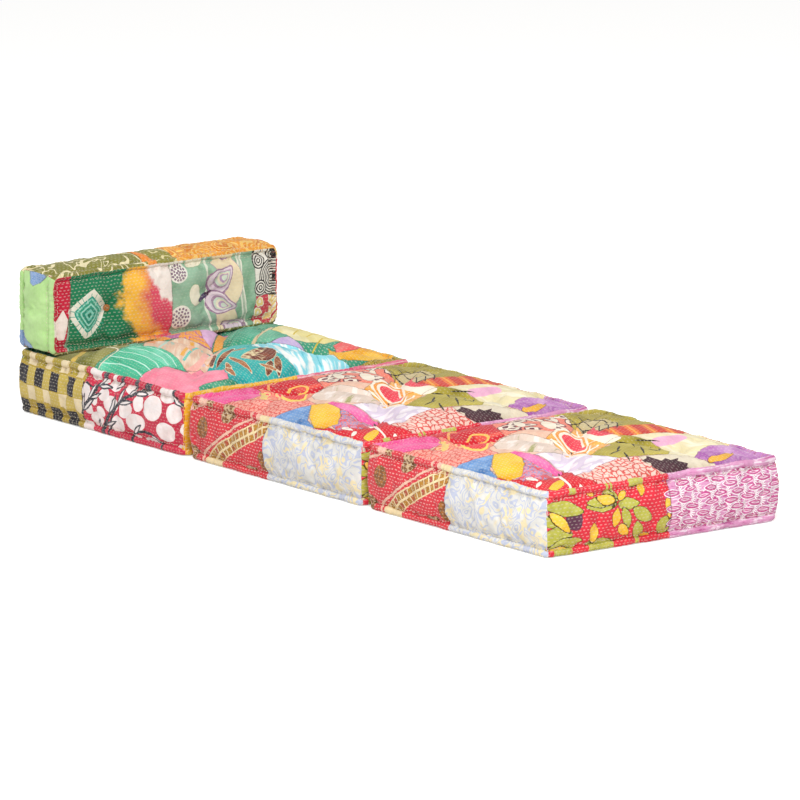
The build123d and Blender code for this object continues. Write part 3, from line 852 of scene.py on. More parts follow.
def red_top():
    """The middle and the foot module's top. The scraps come first, and then the printed shapes."""
    ink = "2b1d20"
    top, sew, stamp = start_panel("plain_cotton", "ecc4ac", "e6b49c", stitched=0.3, lay=on_top)
    sew([(-10, 300), (60, 340), (130, 376), (195, 402), (188, 440), (150, 452), (124, 486), (90, 520),
         (-10, 490)], "tie_dyed_cotton", "dc2434", "c81c2c", "ec5648", size=70, stitched=0.5)
    sew([(-10, 120), (60, 140), (150, 168), (235, 262), (240, 300), (198, 344), (196, 404), (130, 378),
         (60, 342), (-10, 304)], "flower_printed_cotton", "ee8470", "f4e4d0", "6a2c3c", size=46)
    sew([(-10, -20), (262, -20), (300, 120), (285, 176), (130, 172), (60, 142), (-10, 124)],
        "tie_dyed_cotton", "a8973a", "b9a94c", "8c7c26", size=50)
    sew([(104, 110), (172, 100), (225, 122), (286, 176), (300, 234), (256, 224), (196, 176), (134, 164)],
        "plain_cotton", "d3c294", "c2b27c", size=30)
    sew([(318, -20), (452, -20), (508, 56), (500, 116), (532, 140), (562, 184), (572, 226), (546, 250),
         (500, 204), (448, 172), (372, 210), (378, 150), (396, 92)], "brush_printed_cotton", "ecdfb4",
        "f3ead0", "e2d29c", size=30, turn=40, stitched=0.3)
    sew([(236, -20), (322, -20), (400, 90), (382, 130), (372, 214), (298, 230), (284, 178), (300, 120)],
        "striped_cotton", "e8702a", "cf3a2c", "f4a83c", size=44, turn=70)
    sew([(448, -20), (660, -20), (660, 168), (604, 164), (566, 190), (530, 142), (498, 118), (508, 56)],
        "tie_dyed_cotton", "bd7cba", "d0a0cc", "a860a8", size=40)
    sew([(546, 248), (570, 196), (604, 164), (660, 166), (660, 318), (540, 322)], "plain_cotton", "e8dcc4",
        "dccbb0")
    sew([(130, 160), (196, 174), (256, 222), (300, 230), (372, 214), (356, 268), (400, 284), (452, 344),
         (474, 388), (440, 404), (380, 396), (318, 340), (256, 342), (232, 302), (238, 262)],
        "striped_cotton", "f0a040", "f6b65c", "fbe3b4", size=30, turn=-42)
    sew([(352, 275), (360, 216), (398, 190), (448, 168), (500, 200), (546, 244), (538, 300), (530, 362),
         (472, 390), (448, 345), (424, 300), (394, 284)], "tie_dyed_cotton", "b0a03a", "c2b24c", "94862a",
        size=60, stitched=0.3)
    sew([(198, 402), (212, 372), (266, 334), (312, 336), (376, 388), (392, 440), (376, 480), (312, 516),
         (280, 500), (232, 452), (190, 440)], "brush_printed_cotton", "e6d0c0", "f6e8de", "a8a468",
        size=40, turn=-50)
    sew([(310, 334), (330, 316), (346, 330), (378, 386), (472, 390), (532, 362), (546, 440), (566, 508),
         (530, 500), (494, 462), (450, 452), (392, 476), (392, 438), (374, 390)], "scroll_printed_cotton",
        "f1e6ec", "dfd0e2", "f5edf2", size=80)
    sew([(538, 318), (566, 324), (600, 310), (660, 312), (660, 486), (604, 480), (566, 506), (546, 446),
         (530, 364)], "pebble_printed_cotton", "d8564e", "f2ccbe", "f8dccc", size=15)
    sew([(90, 500), (122, 482), (150, 450), (190, 440), (236, 454), (284, 504), (300, 530), (230, 560),
         (170, 580), (156, 546), (104, 508)], "flower_printed_cotton", "f08c74", "f6c088", "e8505c",
        size=24)
    sew([(-10, 484), (40, 508), (104, 506), (158, 546), (164, 590), (110, 612), (60, 660), (-10, 660)],
        "tie_dyed_cotton", "ee5a98", "f47cb0", "e0407e", size=80)
    sew([(160, 580), (232, 556), (300, 528), (350, 534), (332, 560), (298, 606), (290, 660), (60, 660),
         (110, 610)], "pebble_printed_cotton", "e2645c", "f4a494", "f6b8a8", size=12)
    sew([(296, 606), (320, 576), (338, 544), (362, 566), (392, 594), (432, 608), (440, 660), (286, 660)],
        "tie_dyed_cotton", "6c96cc", "88aedc", "527fb8", size=30)
    sew([(450, 466), (470, 450), (532, 492), (564, 510), (604, 478), (660, 484), (660, 660), (430, 660),
         (432, 606), (500, 596), (540, 560)], "plain_cotton", "e02836", "d0202e", stitched=0.4)
    sew([(398, 514), (448, 476), (484, 490), (530, 540), (540, 566), (510, 600), (466, 590), (436, 536)],
        "flower_printed_cotton", "dc5a68", "e88894", "7d9cd0", size=20)
    sew([(338, 544), (356, 512), (398, 514), (434, 536), (480, 580), (468, 606), (432, 608), (384, 584)],
        "tie_dyed_cotton", "f8bc28", "fbcc48", "f0a818", size=60, stitched=0.5)
    sew([(352, 500), (398, 476), (456, 456), (476, 468), (462, 488), (404, 514), (356, 514)],
        "tie_dyed_cotton", "f268a8", "f688bc", "ec5098", size=50)

    for k in range(6):
        stamp(ribbon(on_top((118 + 32 * k, 98 + 10 * k), (124 + 34 * k, 172 + 11 * k)), 3.2), ink)
    for y in (112, 136, 160):
        stamp(ribbon(on_top((100, y - 4), (190, y + 4), (250, y + 34), (302, y + 74)), 3.2), ink)
    stamp(smooth_outline(on_top((410, 110), (436, 108), (430, 174), (406, 174))), "f3b4d2")
    stamp(smooth_outline(on_top((552, 76), (584, 98), (601, 136), (598, 172), (582, 160), (578, 124))),
          "f0b440", accent="7c3a78", lined=True)
    for x, y, long, angle in (
            (366, 244, 66, 34), (392, 212, 60, 60), (404, 236, 92, -30), (432, 204, 84, -36),
            (470, 206, 78, -40), (476, 262, 78, -32), (400, 262, 46, -8), (486, 320, 54, -70),
            (506, 330, 60, -24), (420, 244, 34, 40), (500, 262, 34, 20), (454, 300, 60, -44),
            (474, 168, 26, 30), (470, 166, 24, -60), (484, 176, 22, -20), (462, 180, 22, 80)):
        cx, cy = on_top((x, y))[0]
        stamp(leaf(cx, cy, long, 6, angle), "2e2812" if y > 190 else "5c3c38")
    stamp(np.array(on_top((572, 238), (582, 248), (594, 230), (602, 238), (616, 232), (620, 270),
                          (612, 284), (614, 300), (590, 320), (576, 314), (560, 326), (554, 308),
                          (543, 300), (560, 292), (574, 284), (566, 268), (576, 262))), "41222c",
          pattern="54303a", stitched=0.3)
    paisley = ("fdf0dc", "f39a3c", "fdf0dc", "ee4054")
    for colours, step, *points in (
            (paisley, 0.15, (228, 256), (256, 240), (312, 272), (344, 296), (330, 318), (258, 322),
             (228, 294)),
            (paisley, 0.15, (330, 306), (356, 296), (404, 336), (452, 378), (462, 398), (436, 404),
             (384, 380), (344, 344)),
            (("fdf0dc", "ee4a5c"), 0.3, (156, 150), (196, 146), (250, 206), (300, 234), (366, 226),
             (352, 260), (296, 262), (240, 228)),
            (("f8d460", "e82c38"), 0.22, (190, 458), (216, 446), (262, 496), (300, 536), (268, 554),
             (214, 534), (188, 496))):
        ring = np.array(smooth_outline(on_top(*points)))
        middle = ring.mean(axis=0)
        for inner, colour in enumerate(colours):
            stamp(middle + (ring - middle) * (1 - step * inner), colour, stitched=0.5)
    gold_curl = [(156 + (34 - 4 * k) * math.cos(2.2 + 0.8 * k),
                  436 + (26 - 3 * k) * math.sin(2.2 + 0.8 * k)) for k in range(8)]
    for points, wide, colour in ((((176, 196), (232, 236), (262, 246)), 5, "fdf3e0"),
                                 (((380, 300), (424, 336), (452, 384)), 5, "fdf3e0"),
                                 (((262, 334), (310, 330), (372, 388)), 5, "fdf3e0"),
                                 (gold_curl, 7, "f6bc58"),
                                 (((-10, 400), (60, 430), (80, 466), (112, 490)), 6, "f0a860"),
                                 (((530, 520), (570, 540), (616, 552)), 6, "f8eee2"),
                                 (((470, 470), (500, 488), (520, 478)), 6, "f8eee2"),
                                 (((110, 506), (150, 530), (196, 566)), 16, "ecc878")):
        stamp(ribbon(on_top(*points), wide), colour)
    for x, y, wide, tall, angle in (
            (70, 262, 90, 30, -34), (186, 280, 96, 36, -30), (120, 214, 60, 20, -34),
            (60, 180, 52, 22, -30), (150, 330, 70, 26, -24)):
        cx, cy = on_top((x, y))[0]
        stamp(oval(cx, cy, wide, tall, angle), "f6ead6", pattern="ecdcc4", accent="5c2c3c", lined=True)
    for x, y, long, wide, angle in (
            (500, 504, 46, 20, -38), (600, 520, 40, 16, -20), (506, 590, 44, 16, 8),
            (548, 580, 34, 14, -60)):
        cx, cy = on_top((x, y))[0]
        stamp(leaf(cx, cy, long, wide, angle), "f8eee2", accent="c41c28", lined=True)
    stamp(smooth_outline(on_top((556, 546), (584, 548), (606, 584), (584, 592))), "fbc42c",
          accent="a01c28", lined=True)
    return top


def green_top():
    """The head module's top. The scraps come first, and then the printed shapes."""
    brown = "6a2c1c"
    top, sew, stamp = start_panel("tie_dyed_cotton", "3f9a78", "57ac8a", "2f8a68", size=70, stitched=0.7,
                                  lay=on_top)
    sew([(75, 190), (150, 152), (200, 222), (290, 306), (250, 308), (150, 256), (90, 256)],
        "tie_dyed_cotton", "dca4d0", "e6b8dc", "c88cc4", size=60)
    sew([(88, 256), (150, 256), (140, 285), (98, 300)], "tie_dyed_cotton", "6f9cb0", "8cb8c0", "527f9c",
        size=30)
    sew([(95, 300), (150, 256), (255, 306), (292, 306), (240, 352), (212, 412), (138, 446), (108, 375)],
        "tendril_printed_cotton", "f0a050", "c070a0", "f4b35c", size=44, turn=-35)
    sew([(240, 352), (292, 306), (395, 330), (470, 448), (440, 492), (300, 500), (215, 430)],
        "brush_printed_cotton", "e6bca0", "f0dcc4", "a8c8b8", size=46, turn=-38)
    sew([(148, 150), (165, 160), (298, 282), (296, 306), (200, 222)], "plain_cotton", "f2a848", "e8962c")
    sew([(165, 120), (185, 108), (245, 150), (290, 195), (262, 200), (170, 168)], "tie_dyed_cotton",
        "4cab88", "68bc9c", "3c9474", size=50)
    sew([(258, 192), (320, 188), (384, 238), (366, 270), (320, 284), (288, 236)], "tie_dyed_cotton",
        "48a684", "60b898", "379070", size=50)
    sew([(322, 160), (388, 160), (388, 226), (366, 240), (320, 190)], "tie_dyed_cotton", "5cae8c",
        "74bc9c", "489a7a", size=50)
    sew([(386, 168), (438, 160), (420, 204), (390, 224)], "plain_cotton", "c8b0dc", "d8c4e4")
    sew([(125, -20), (200, -20), (262, 90), (312, 186), (258, 160), (190, 60)], "tie_dyed_cotton",
        "4a9a74", "5cab84", "3a8664", size=60, stitched=0.5)
    sew([(190, -20), (385, -20), (445, 60), (440, 110), (405, 165), (320, 165), (262, 90)],
        "brush_printed_cotton", "e8da94", "f0e6b4", "dcc860", size=44, turn=-20, stitched=0.2)
    sew([(380, -20), (455, -20), (525, 82), (505, 124), (462, 102), (440, 56)], "tie_dyed_cotton",
        "ee5c5c", "f27c76", "e4484c", size=60)
    sew([(450, -20), (575, -20), (600, 100), (575, 182), (530, 162), (465, 118), (510, 122), (525, 82)],
        "tie_dyed_cotton", "f6b428", "fac444", "eca21c", size=60, stitched=0.4)
    sew([(560, -20), (660, -20), (660, 145), (606, 140), (590, 60)], "dotted_cotton", "b09438", "8c7424",
        "d8c070", size=18)
    sew([(385, 225), (438, 162), (470, 135), (575, 172), (660, 150), (660, 312), (482, 296), (440, 310),
         (386, 262)], "brush_printed_cotton", "8edce8", "f6faf6", "5cc4d4", size=26, turn=-20,
        stitched=0.2)
    sew([(300, 300), (366, 262), (388, 256), (440, 308), (482, 294), (600, 302), (660, 310), (660, 420),
         (590, 482), (520, 446), (470, 450), (395, 332)], "tie_dyed_cotton", "2eb0ac", "44c0b6", "1f9c9c",
        size=60)
    sew([(288, 492), (330, 480), (448, 490), (446, 522), (430, 612), (440, 660), (285, 660), (270, 505)],
        "brush_printed_cotton", "4cc298", "74d4b2", "38ae84", size=50, turn=-8)
    sew([(445, 452), (520, 444), (592, 482), (590, 560), (660, 600), (660, 660), (430, 660), (432, 600),
         (450, 520)], "plain_cotton", "f8869e", "fb9aae", stitched=0.3)
    sew([(104, 512), (140, 470), (262, 505), (268, 610), (270, 660), (110, 660), (130, 560)],
        "tie_dyed_cotton", "95924a", "a8a45c", "7c7c34", size=50)
    sew([(148, 458), (180, 432), (222, 426), (250, 470), (262, 505), (180, 492)], "tie_dyed_cotton",
        "5cc4a0", "7cd4b4", "44b08c", size=40)

    stamp(ribbon(on_top((302, 148), (345, 215), (396, 302)), 9), "d9c49a")
    stamp(ribbon(on_top((176, 545), (268, 543), (286, 640)), 5), "f3ead0")
    stamp(smooth_outline(on_top((470, 300), (505, 290), (550, 330), (548, 366), (512, 388), (486, 352))),
          brown, pattern="8c4428", accent="e8d4a4", fabric="tie_dyed_cotton", lined=True)
    for x, y, long, wide, angle in (
            (540, 312, 90, 20, -34), (556, 340, 70, 22, -44), (400, 388, 96, 26, -34),
            (440, 352, 112, 20, -62), (480, 398, 120, 18, -8), (500, 420, 104, 16, -30),
            (560, 376, 52, 16, 40), (520, 440, 76, 16, -16), (452, 330, 50, 14, -80)):
        cx, cy = on_top((x, y))[0]
        stamp(leaf(cx, cy, long, wide, angle), "a8643c" if wide < 20 else brown, pattern="bc7c50",
              accent="ecdcb8", lined=True)
    for points, colour, wide in (
            (((300, 312), (352, 362), (420, 430), (450, 486)), "f6b4a8", 14),
            (((262, 340), (330, 392), (402, 470)), "f2b04c", 9), (((290, 330), (350, 390), (420, 478)),
                                                                  "6cc4b8", 6),
            (((240, 380), (300, 440), (340, 490)), "b8d0c0", 8), (((330, 322), (392, 372), (440, 440)),
                                                                  "e8c8d0", 8)):
        stamp(ribbon(on_top(*points), wide), colour)
    for x, y, long, wide, angle in (
            (236, 430, 66, 34, -40), (300, 352, 52, 22, -38), (340, 400, 60, 20, -42),
            (410, 400, 56, 18, -46)):
        cx, cy = on_top((x, y))[0]
        stamp(drop(cx, cy, long, wide, angle), "ee9460" if x < 240 else "f7dcc8", pattern="f0a878",
              accent="f0a040", lined=True)
    for y in (500, 522, 546, 570, 592):
        stamp(ribbon(on_top((282, y + 4), (340, y - 4), (400, y), (440, y + 10)), 3.0), "c4f0de")
    stamp(ribbon(on_top((112, 520), (150, 560), (182, 606)), 12), "e8c45c")
    for x, y in ((330, 300), (350, 292), (306, 330)):
        cx, cy = on_top((x, y))[0]
        stamp(oval(cx, cy, 34, 24, x), "3cb4a8", accent="1f8c88", lined=True)
    for points in (((402, 70), (425, 110), (450, 150)), ((330, 20), (372, 70), (400, 130)),
                   ((262, 30), (320, 80), (380, 150))):
        stamp(ribbon(on_top(*points), 4), "d8bc44")
    return top


# The side bands of the seats, in millimetres as seen from outside, from the left and up from the
# floor. Only the near sides and the foot end are known; the others repeat cloths of the same set.

def red_band():
    """The near side of the middle and the foot module: gold ladders on red, then a pale scroll print."""
    cream, gold = "f0dcae", "c08a34"
    band, sew, stamp = start_panel("plain_cotton", "dc3c46", "d23440", stitched=1.0, thread="f6ccc4")
    for points in (((-10, 108), (50, 136), (110, 148), (190, 166)),
                   ((62, -10), (70, 22), (130, 62), (200, 106), (262, 140)),
                   ((88, -10), (104, 22), (162, 62), (232, 104), (300, 150))):
        stamp(ribbon(points, 9), "eca896", pattern="f3cdb4", accent="b8242c",
              fabric="pebble_printed_cotton", size=6, lined=True)
    # A ladder of gold squares in two rows
    knots = np.array([(60, -22), (108, 12), (150, 43), (200, 70), (250, 95), (300, 121), (345, 142)], float)
    stamp(ribbon(knots, 40), cream, pattern="e8cf9c", lined=True)
    run = np.concatenate([[0], np.cumsum(np.linalg.norm(np.diff(knots, axis=0), axis=1))])
    for rung, at in enumerate(np.arange(8, run[-1] - 8, 17.0)):
        here = np.array([np.interp(at, run, knots[:, k]) for k in (0, 1)])
        ahead = np.array([np.interp(at + 5, run, knots[:, k]) for k in (0, 1)])
        slope = math.atan2(*(ahead - here)[::-1])
        for row, side in enumerate((-9.6, 9.6)):
            square = turned([(-6.6, -7), (6.4, -6.6), (6.8, 7), (-6.2, 6.6)],
                            here[0] - side * math.sin(slope), here[1] + side * math.cos(slope),
                            math.degrees(slope) + 3 * math.sin(rung))
            stamp(square, gold if (rung + row) % 3 else "b84c3c", pattern="a87428", accent="7c3018",
                  lined=True)
    for x, y, wide, tall, ground in (
            (72, 88, 52, 52, "b07034"), (166, 130, 50, 36, "c9ac84"), (316, 46, 36, 52, "b07034"),
            (20, 22, 44, 32, "c9ac84"), (256, 16, 44, 22, "c9ac84")):
        stamp(oval(x, y, wide, tall, 8), ground, pattern="7c5a30", accent="8c4a2c",
              fabric="flower_printed_cotton", size=10, lined=True)
    for low, high in ((141, 200), (-20, 10)):
        stamp(cut_outline([(-20, low), (150, low), (250, low + 4), (330, low + 4), (330, high),
                           (-20, high)]), "dcc08c", pattern="8c4a2c", accent="c8323c",
              fabric="pebble_printed_cotton", size=12)
    sew([(322, -30), (760, -30), (760, 190), (330, 190), (318, 80)], "scroll_printed_cotton", "dfddd8",
        "bfc5da", "ecdcb2", size=40, turn=20, stitched=0.2)
    return band


def head_band():
    """The head module's near side: a check of three tones, then white petals on dark twigs."""
    band, sew, stamp = start_panel("plain_cotton", "c2a446", "b3983a", size=40)
    for k in range(6):
        x = 67 * k - 46
        for left, y, tall, colour in (
                (x, 76, 44, "2e2a30"), (x - 4, -6, 42, "2e2a30"), (x + 34, 41, 33, "ead6ae"),
                (x + 30, 124, 40, "ead6ae"), (x + 34, 76, 44, "cdb458"), (x, 41, 33, "d0b65c"),
                (x + 2, 126, 40, "ad983a")):
            wide = 38 if left == x or left == x - 4 else 32
            stamp(cut_outline([(left, y), (left + wide, y), (left + wide, y + tall), (left, y + tall)],
                              wander=2.4), colour, stitched=0.5)
    sew([(288, -30), (760, -30), (760, 190), (296, 190)], "plain_cotton", "d23450", "c82c48")
    for x, y, wide, tall, angle in (
            (410, 84, 56, 42, 0), (468, 78, 58, 36, 20), (516, 102, 36, 40, 0), (574, 100, 74, 60, 8),
            (624, 50, 68, 48, 0), (504, 54, 68, 44, 6), (432, 38, 58, 40, 18), (652, 98, 48, 48, 0),
            (622, 136, 60, 34, 0), (380, 102, 40, 30, 20), (370, 60, 34, 24, -20), (344, 36, 58, 36, 15),
            (404, 16, 50, 22, 0), (560, 14, 64, 24, 0), (480, 130, 40, 24, 0), (306, 96, 30, 50, 10),
            (334, 142, 44, 26, 0), (416, 128, 50, 26, -8), (318, 58, 30, 26, 0), (676, 14, 44, 24, 0),
            (500, 14, 36, 22, 0), (300, 12, 40, 28, 0), (372, 134, 34, 22, 20), (542, 138, 44, 24, 0),
            (340, 84, 30, 30, 30), (452, 8, 30, 18, 0), (688, 66, 30, 34, 0)):
        stamp(oval(x, y, wide, tall, angle), "f8eeec", pattern="f2e0dc")
    for wide, *line in (
            (7, (286, 40), (300, 62), (322, 84), (350, 118), (388, 150)),
            (9, (338, -10), (372, 26), (408, 62), (440, 88), (482, 116), (560, 146)),
            (7, (470, 2), (492, 26), (530, 36), (570, 34), (604, 14)),
            (5, (298, 120), (330, 112), (372, 128)), (5, (380, 8), (410, 50), (430, 76)),
            (7, (640, 146), (662, 128), (694, 122))):
        stamp(ribbon(line, wide), "35343c", pattern="4b4a52")
    for x, y, long, angle in (
            (292, 46, 50, 78), (296, 50, 56, 42), (318, 80, 56, 64), (322, 84, 52, 22), (352, 116, 46, 50),
            (356, 118, 50, 6), (340, 0, 46, 64), (376, 26, 52, 20), (404, 60, 56, 62), (440, 88, 50, 66),
            (444, 90, 56, 14), (476, 112, 50, 50), (500, 122, 46, 8), (492, 24, 46, 40),
            (560, 34, 44, -20), (640, 140, 44, -34), (420, 120, 44, 40)):
        stamp(leaf(x, y, long, 14, angle), "3a3942", pattern="5a5a64")
        stamp(leaf(x + 6 * math.cos(math.radians(angle)), y + 6 * math.sin(math.radians(angle)),
                   long * 0.7, 6, angle), "f1e8e6")
    return band


def foot_end_band(printed=True):
    """The foot end: leaves on red, then pink. Between two modules only the tone of the pink print shows."""
    band, sew, stamp = start_panel("plain_cotton", "e63444", "dc2c3e", stitched=0.8, thread="f8c8c0")
    stamp(smooth_outline([(62, 98), (66, 66), (100, 60), (104, 96), (84, 106)]), "5c3048", pattern="6c3c54")
    for x, y, long, wide, angle in (
            (206, 104, 90, 30, 178), (206, 104, 66, 30, -4), (204, 108, 36, 28, 110),
            (224, 96, 56, 26, -72), (250, 90, 68, 34, -32), (14, 122, 100, 38, -14), (8, 96, 48, 30, -30),
            (6, 44, 76, 58, 4), (20, 22, 92, 36, 6), (262, 60, 54, 30, -76), (120, 22, 84, 26, -4),
            (236, 150, 60, 26, -4), (60, 148, 60, 26, 8), (330, 14, 40, 22, 20), (180, 8, 60, 20, 0),
            (180, 142, 44, 28, -70), (120, 116, 92, 26, -2)):
        stamp(leaf(x, y, long, wide, angle), "b9b648", pattern="c8c65e", accent="4e4a18", size=18,
              stitched=0.5, lined=True)
    stamp(smooth_outline(oval(346, 38, 46, 46, count=10)), "b9b648", pattern="c8c65e", accent="4e4a18",
          lined=True)
    for x, y, long, wide, angle in (
            (202, 112, 54, 26, 168), (210, 112, 34, 18, 34), (208, 96, 46, 28, 256),
            (212, 58, 46, 26, -48), (24, 106, 72, 26, -46), (138, 70, 52, 30, -82),
            (288, 146, 36, 22, -110), (300, 150, 58, 24, 4), (10, 18, 96, 20, -8), (150, 130, 34, 20, 150),
            (358, 112, 62, 20, -90), (282, 20, 40, 20, -20)):
        stamp(leaf(x, y, long, wide, angle), "f6c236", pattern="f9d056", accent="6c4410", size=18,
              stitched=0.4, lined=True)

    # Pink scales with a fan in each, drawn about a third larger than the print, which is too fine to show
    sew([(366, -30), (760, -30), (760, 190), (362, 190)], "brush_printed_cotton", "e09cc4", "f7e3ee",
        "c25a98", size=13, thread="d88ab8")
    if not printed:
        return band
    for row in range(9):
        for k in range(8):
            x = 378 + 54 * k + (27 if row % 2 else 0) + 4 * math.sin(5 * k + 3 * row)
            y = 2 + 18 * row + 2 * math.sin(3 * k + 7 * row)
            tilt = 6 * math.sin(2 * k + row)
            stamp(ribbon([(x - 27, y - 8), (x - 10, y - 4), (x + 8, y - 7), (x + 27, y - 10)], 3.4),
                  "c8508e")
            stamp(leaf(x - 28, y, 48, 19, tilt), "fdf6f9")
            stamp(leaf(x - 26, y, 44, 15, tilt), "c8508e", pattern="d673a8")
            stamp(leaf(x - 19, y, 28, 6, tilt), "f7dcea")
            stamp(leaf(x - 15, y, 18, 2.6, tilt), "c8508e")
            for angle in (-52, -30, -8, 14, 36, 58):
                c, s = math.cos(math.radians(angle)), math.sin(math.radians(angle))
                stamp(leaf(x + 10 + 2 * c, y + 3 * s, 17, 4.4, angle), "c8508e")
                stamp(leaf(x + 10 + 3 * c, y + 4 * s, 15, 3.2, angle), "fdf6f9")
    return band


def plain_side(ground, pattern, accent, fabric="scroll_printed_cotton", size=34, other=None):
    """A band of one or two cloths, for the sides that stand against a neighbour or face the wall."""
    band, sew, _ = start_panel(fabric, ground, pattern, accent, size=size)
    if other:
        sew([(338, -30), (760, -30), (760, 190), (352, 190)], **other)
    return band


def backing():
    """The underside: plain handloom cotton in three widths, with the running stitches of the quilting."""
    cloth, sew, _ = start_panel("plain_cotton", "d8c6a4", "cbb791", size=60, thread="b03a3a")
    sew([(238, -30), (470, -30), (470, 760), (236, 760)], "plain_cotton", "d1bd98", "c4ae86", size=60,
        thread="b03a3a")
    return cloth


# The back cushion's panels, in millimetres as seen from outside. Its front is tie-dyed and printed
# cotton in crimson, green, orange and sage; the top and the near end are seen edge on.

def back_front():
    """The front, from the near end at the left to the far end."""
    front, sew, stamp = start_panel("tie_dyed_cotton", "8cb494", "9cc0a4", "7fa988", size=60, stitched=0.2)
    for x, y, wide in ((384, 163, 50), (388, 54, 60)):
        stamp(oval(x, y, wide, wide, count=30), "f0eee2")
        for ring, beads in ((0.36, 14), (0.23, 9), (0.09, 4)):
            for bead in range(beads):
                turn = 2 * math.pi * bead / beads
                stamp(oval(x + ring * wide * math.cos(turn), y + ring * wide * math.sin(turn), 6.4, 6.4,
                           count=8), "8c7484")
    sew([(60, -20), (364, -20), (364, 240), (70, 240)], "dip_dyed_cotton", "1f7c52", "f9bc44", "e4506a",
        size=100, stitched=0.5)
    sew([(-20, -20), (52, -20), (62, 105), (76, 240), (-20, 240)], "plain_cotton", "cc2440", "bc1c34",
        thread="f3dcd8", stitched=0.6)
    sew([(612, -20), (760, -20), (760, 78), (616, 80)], "flower_printed_cotton", "c8404c", "f0d488",
        "f6f0e2", size=26)
    sew([(616, 78), (760, 78), (760, 240), (610, 240)], "plain_cotton", "f0ebe0")
    for x, y, sets in ((672, 120, 7), (626, 164, 3), (676, 176, 3), (630, 98, 3)):
        for ring in range(2 * sets, 0, -1):
            stamp(oval(x, y, 6.6 * ring, 6.6 * ring), "f0ebe0" if ring % 2 else "2a2426")
    stamp(np.array([(18.0, 70), (46, 112), (60, 84), (50, 38), (36, 36)]), "f3e2d8", accent="8c1424",
          lined=True)
    # The tied medallion: puckered rings in cream and teal
    shape = np.array([(-58, 6), (-46, 26), (6, 58), (20, 54), (60, 16), (58, 2), (20, -36), (-6, -56),
                      (-22, -46)], float)
    for share, colour in (
            (1.0, "efe8d6"), (0.74, "2c9a84"), (0.66, "8cd0ba"), (0.58, "35997a"), (0.46, "9ad4c2"),
            (0.38, "2c8c74"), (0.24, "7cc4b0"), (0.12, "1f7a60")):
        stamp(smooth_outline(shape * share + (118, 92)), colour, pattern=colour, stitched=0.3)
    for k in range(22):
        angle = 2 * math.pi * k / 22
        c, s = math.cos(angle), math.sin(angle)
        stamp(ribbon([(118 + 30 * c, 92 + 28 * s), (118 + 42 * c, 92 + 40 * s),
                      (118 + 55 * c, 92 + 52 * s)], 1.8), "3aa08a" if k % 3 else "cfe6da")
    for x, y, wide, tall in ((432, 104, 40, 54), (436, 184, 56, 26), (462, 6, 56, 16)):
        stamp(smooth_outline(oval(x, y, wide, tall, 5, count=7)), "efe8d0", accent="a8b890", lined=True)
    stamp(ribbon([(470, 225), (470, 165), (482, 120), (470, 75), (486, 20), (492, -10)], 6), "e6ead8")
    stamp(ribbon([(580, 225), (566, 150), (568, 120), (576, 75), (590, -10)], 15), "e4e4d2")
    stamp(ribbon([(580, 225), (566, 150), (568, 120), (576, 75), (590, -10)], 6), "b4c4ac")
    stamp(ribbon([(512, 190), (548, 120), (522, 60), (556, -10)], 56), "efddb8", accent="b894a8",
          lined=True)
    for x, y, long, wide, angle in (
            (482, 108, 84, 66, 34), (472, 88, 88, 58, -22), (516, 10, 76, 34, 4), (508, 190, 60, 26, 6)):
        for inner, colour in enumerate(("a07c98", "e8d8de", "dcc8d4", "b494ac", "cfe0cc", "efe4cc",
                                        "b898b4", "d8e4d0")):
            share = 1 - 0.115 * inner
            along = long * (1 - share) * 0.62
            stamp(drop(x + along * math.cos(math.radians(angle)),
                       y + along * math.sin(math.radians(angle)), long * share, wide * share, angle, 0.05),
                  colour)
    stamp(leaf(440, 88, 46, 16, 14), "4c3c5e")
    return front


def back_end():
    """The near end. x runs down from the top and y from the rear to the front."""
    end, sew, _ = start_panel("plain_cotton", "bfe49c", "b2dc8c", size=60, stitched=0.15)
    for wedge in ([(-20, 40), (22, 52), (34, 74), (12, 112), (-20, 108)],
                  [(146, 6), (176, 44), (212, 82), (230, -20)]):
        sew(wedge, "dotted_cotton", "8ea8d0", "6c90c0", "b4c4e0", size=8, stitched=0.2)
    return end


def back_top():
    """The top. x runs from the far end to the near end."""
    top, sew, _ = start_panel("tendril_printed_cotton", "8f8a3c", "e6d9a0", "9c9644", size=40)
    sew([(-20, -20), (320, -20), (312, 170), (-20, 170)], "scroll_printed_cotton", "eb9c38", "f6c668",
        "d98224", size=46)
    sew([(375, -20), (400, -20), (404, 170), (372, 170)], "plain_cotton", "ee8a30", "f09c44")
    sew([(402, -20), (760, -20), (760, 170), (402, 170)], "tendril_printed_cotton", "87843a", "efe2b4",
        "7c7a34", size=42)
    return top


# The rolled edges: where two panels meet, their edges are pinched round a cord of batting and
# whip-stitched with thick cotton thread, which nips the roll in at every stitch.

stitch_gap = 14.0
nip = 0.12
roll_bend = 14 * MM


def swept(middle, across, up, radii, closed, sides=14):
    """Points and quads of a tube along a line, with the angle of each point round it."""
    angles = np.linspace(-math.pi / 2, 3 * math.pi / 2, sides, endpoint=False)
    ring = np.cos(angles)[None, :, None] * across[:, None] + np.sin(angles)[None, :, None] * up[:, None]
    points = middle[:, None] + ring * radii[:, None, None]
    count = len(middle)
    quads = []
    for k in range(count if closed else count - 1):
        after = (k + 1) % count
        for a in range(sides):
            b = (a + 1) % sides
            quads.append((k * sides + a, after * sides + a, after * sides + b, k * sides + b))
    return points.reshape(-1, 3), quads, angles


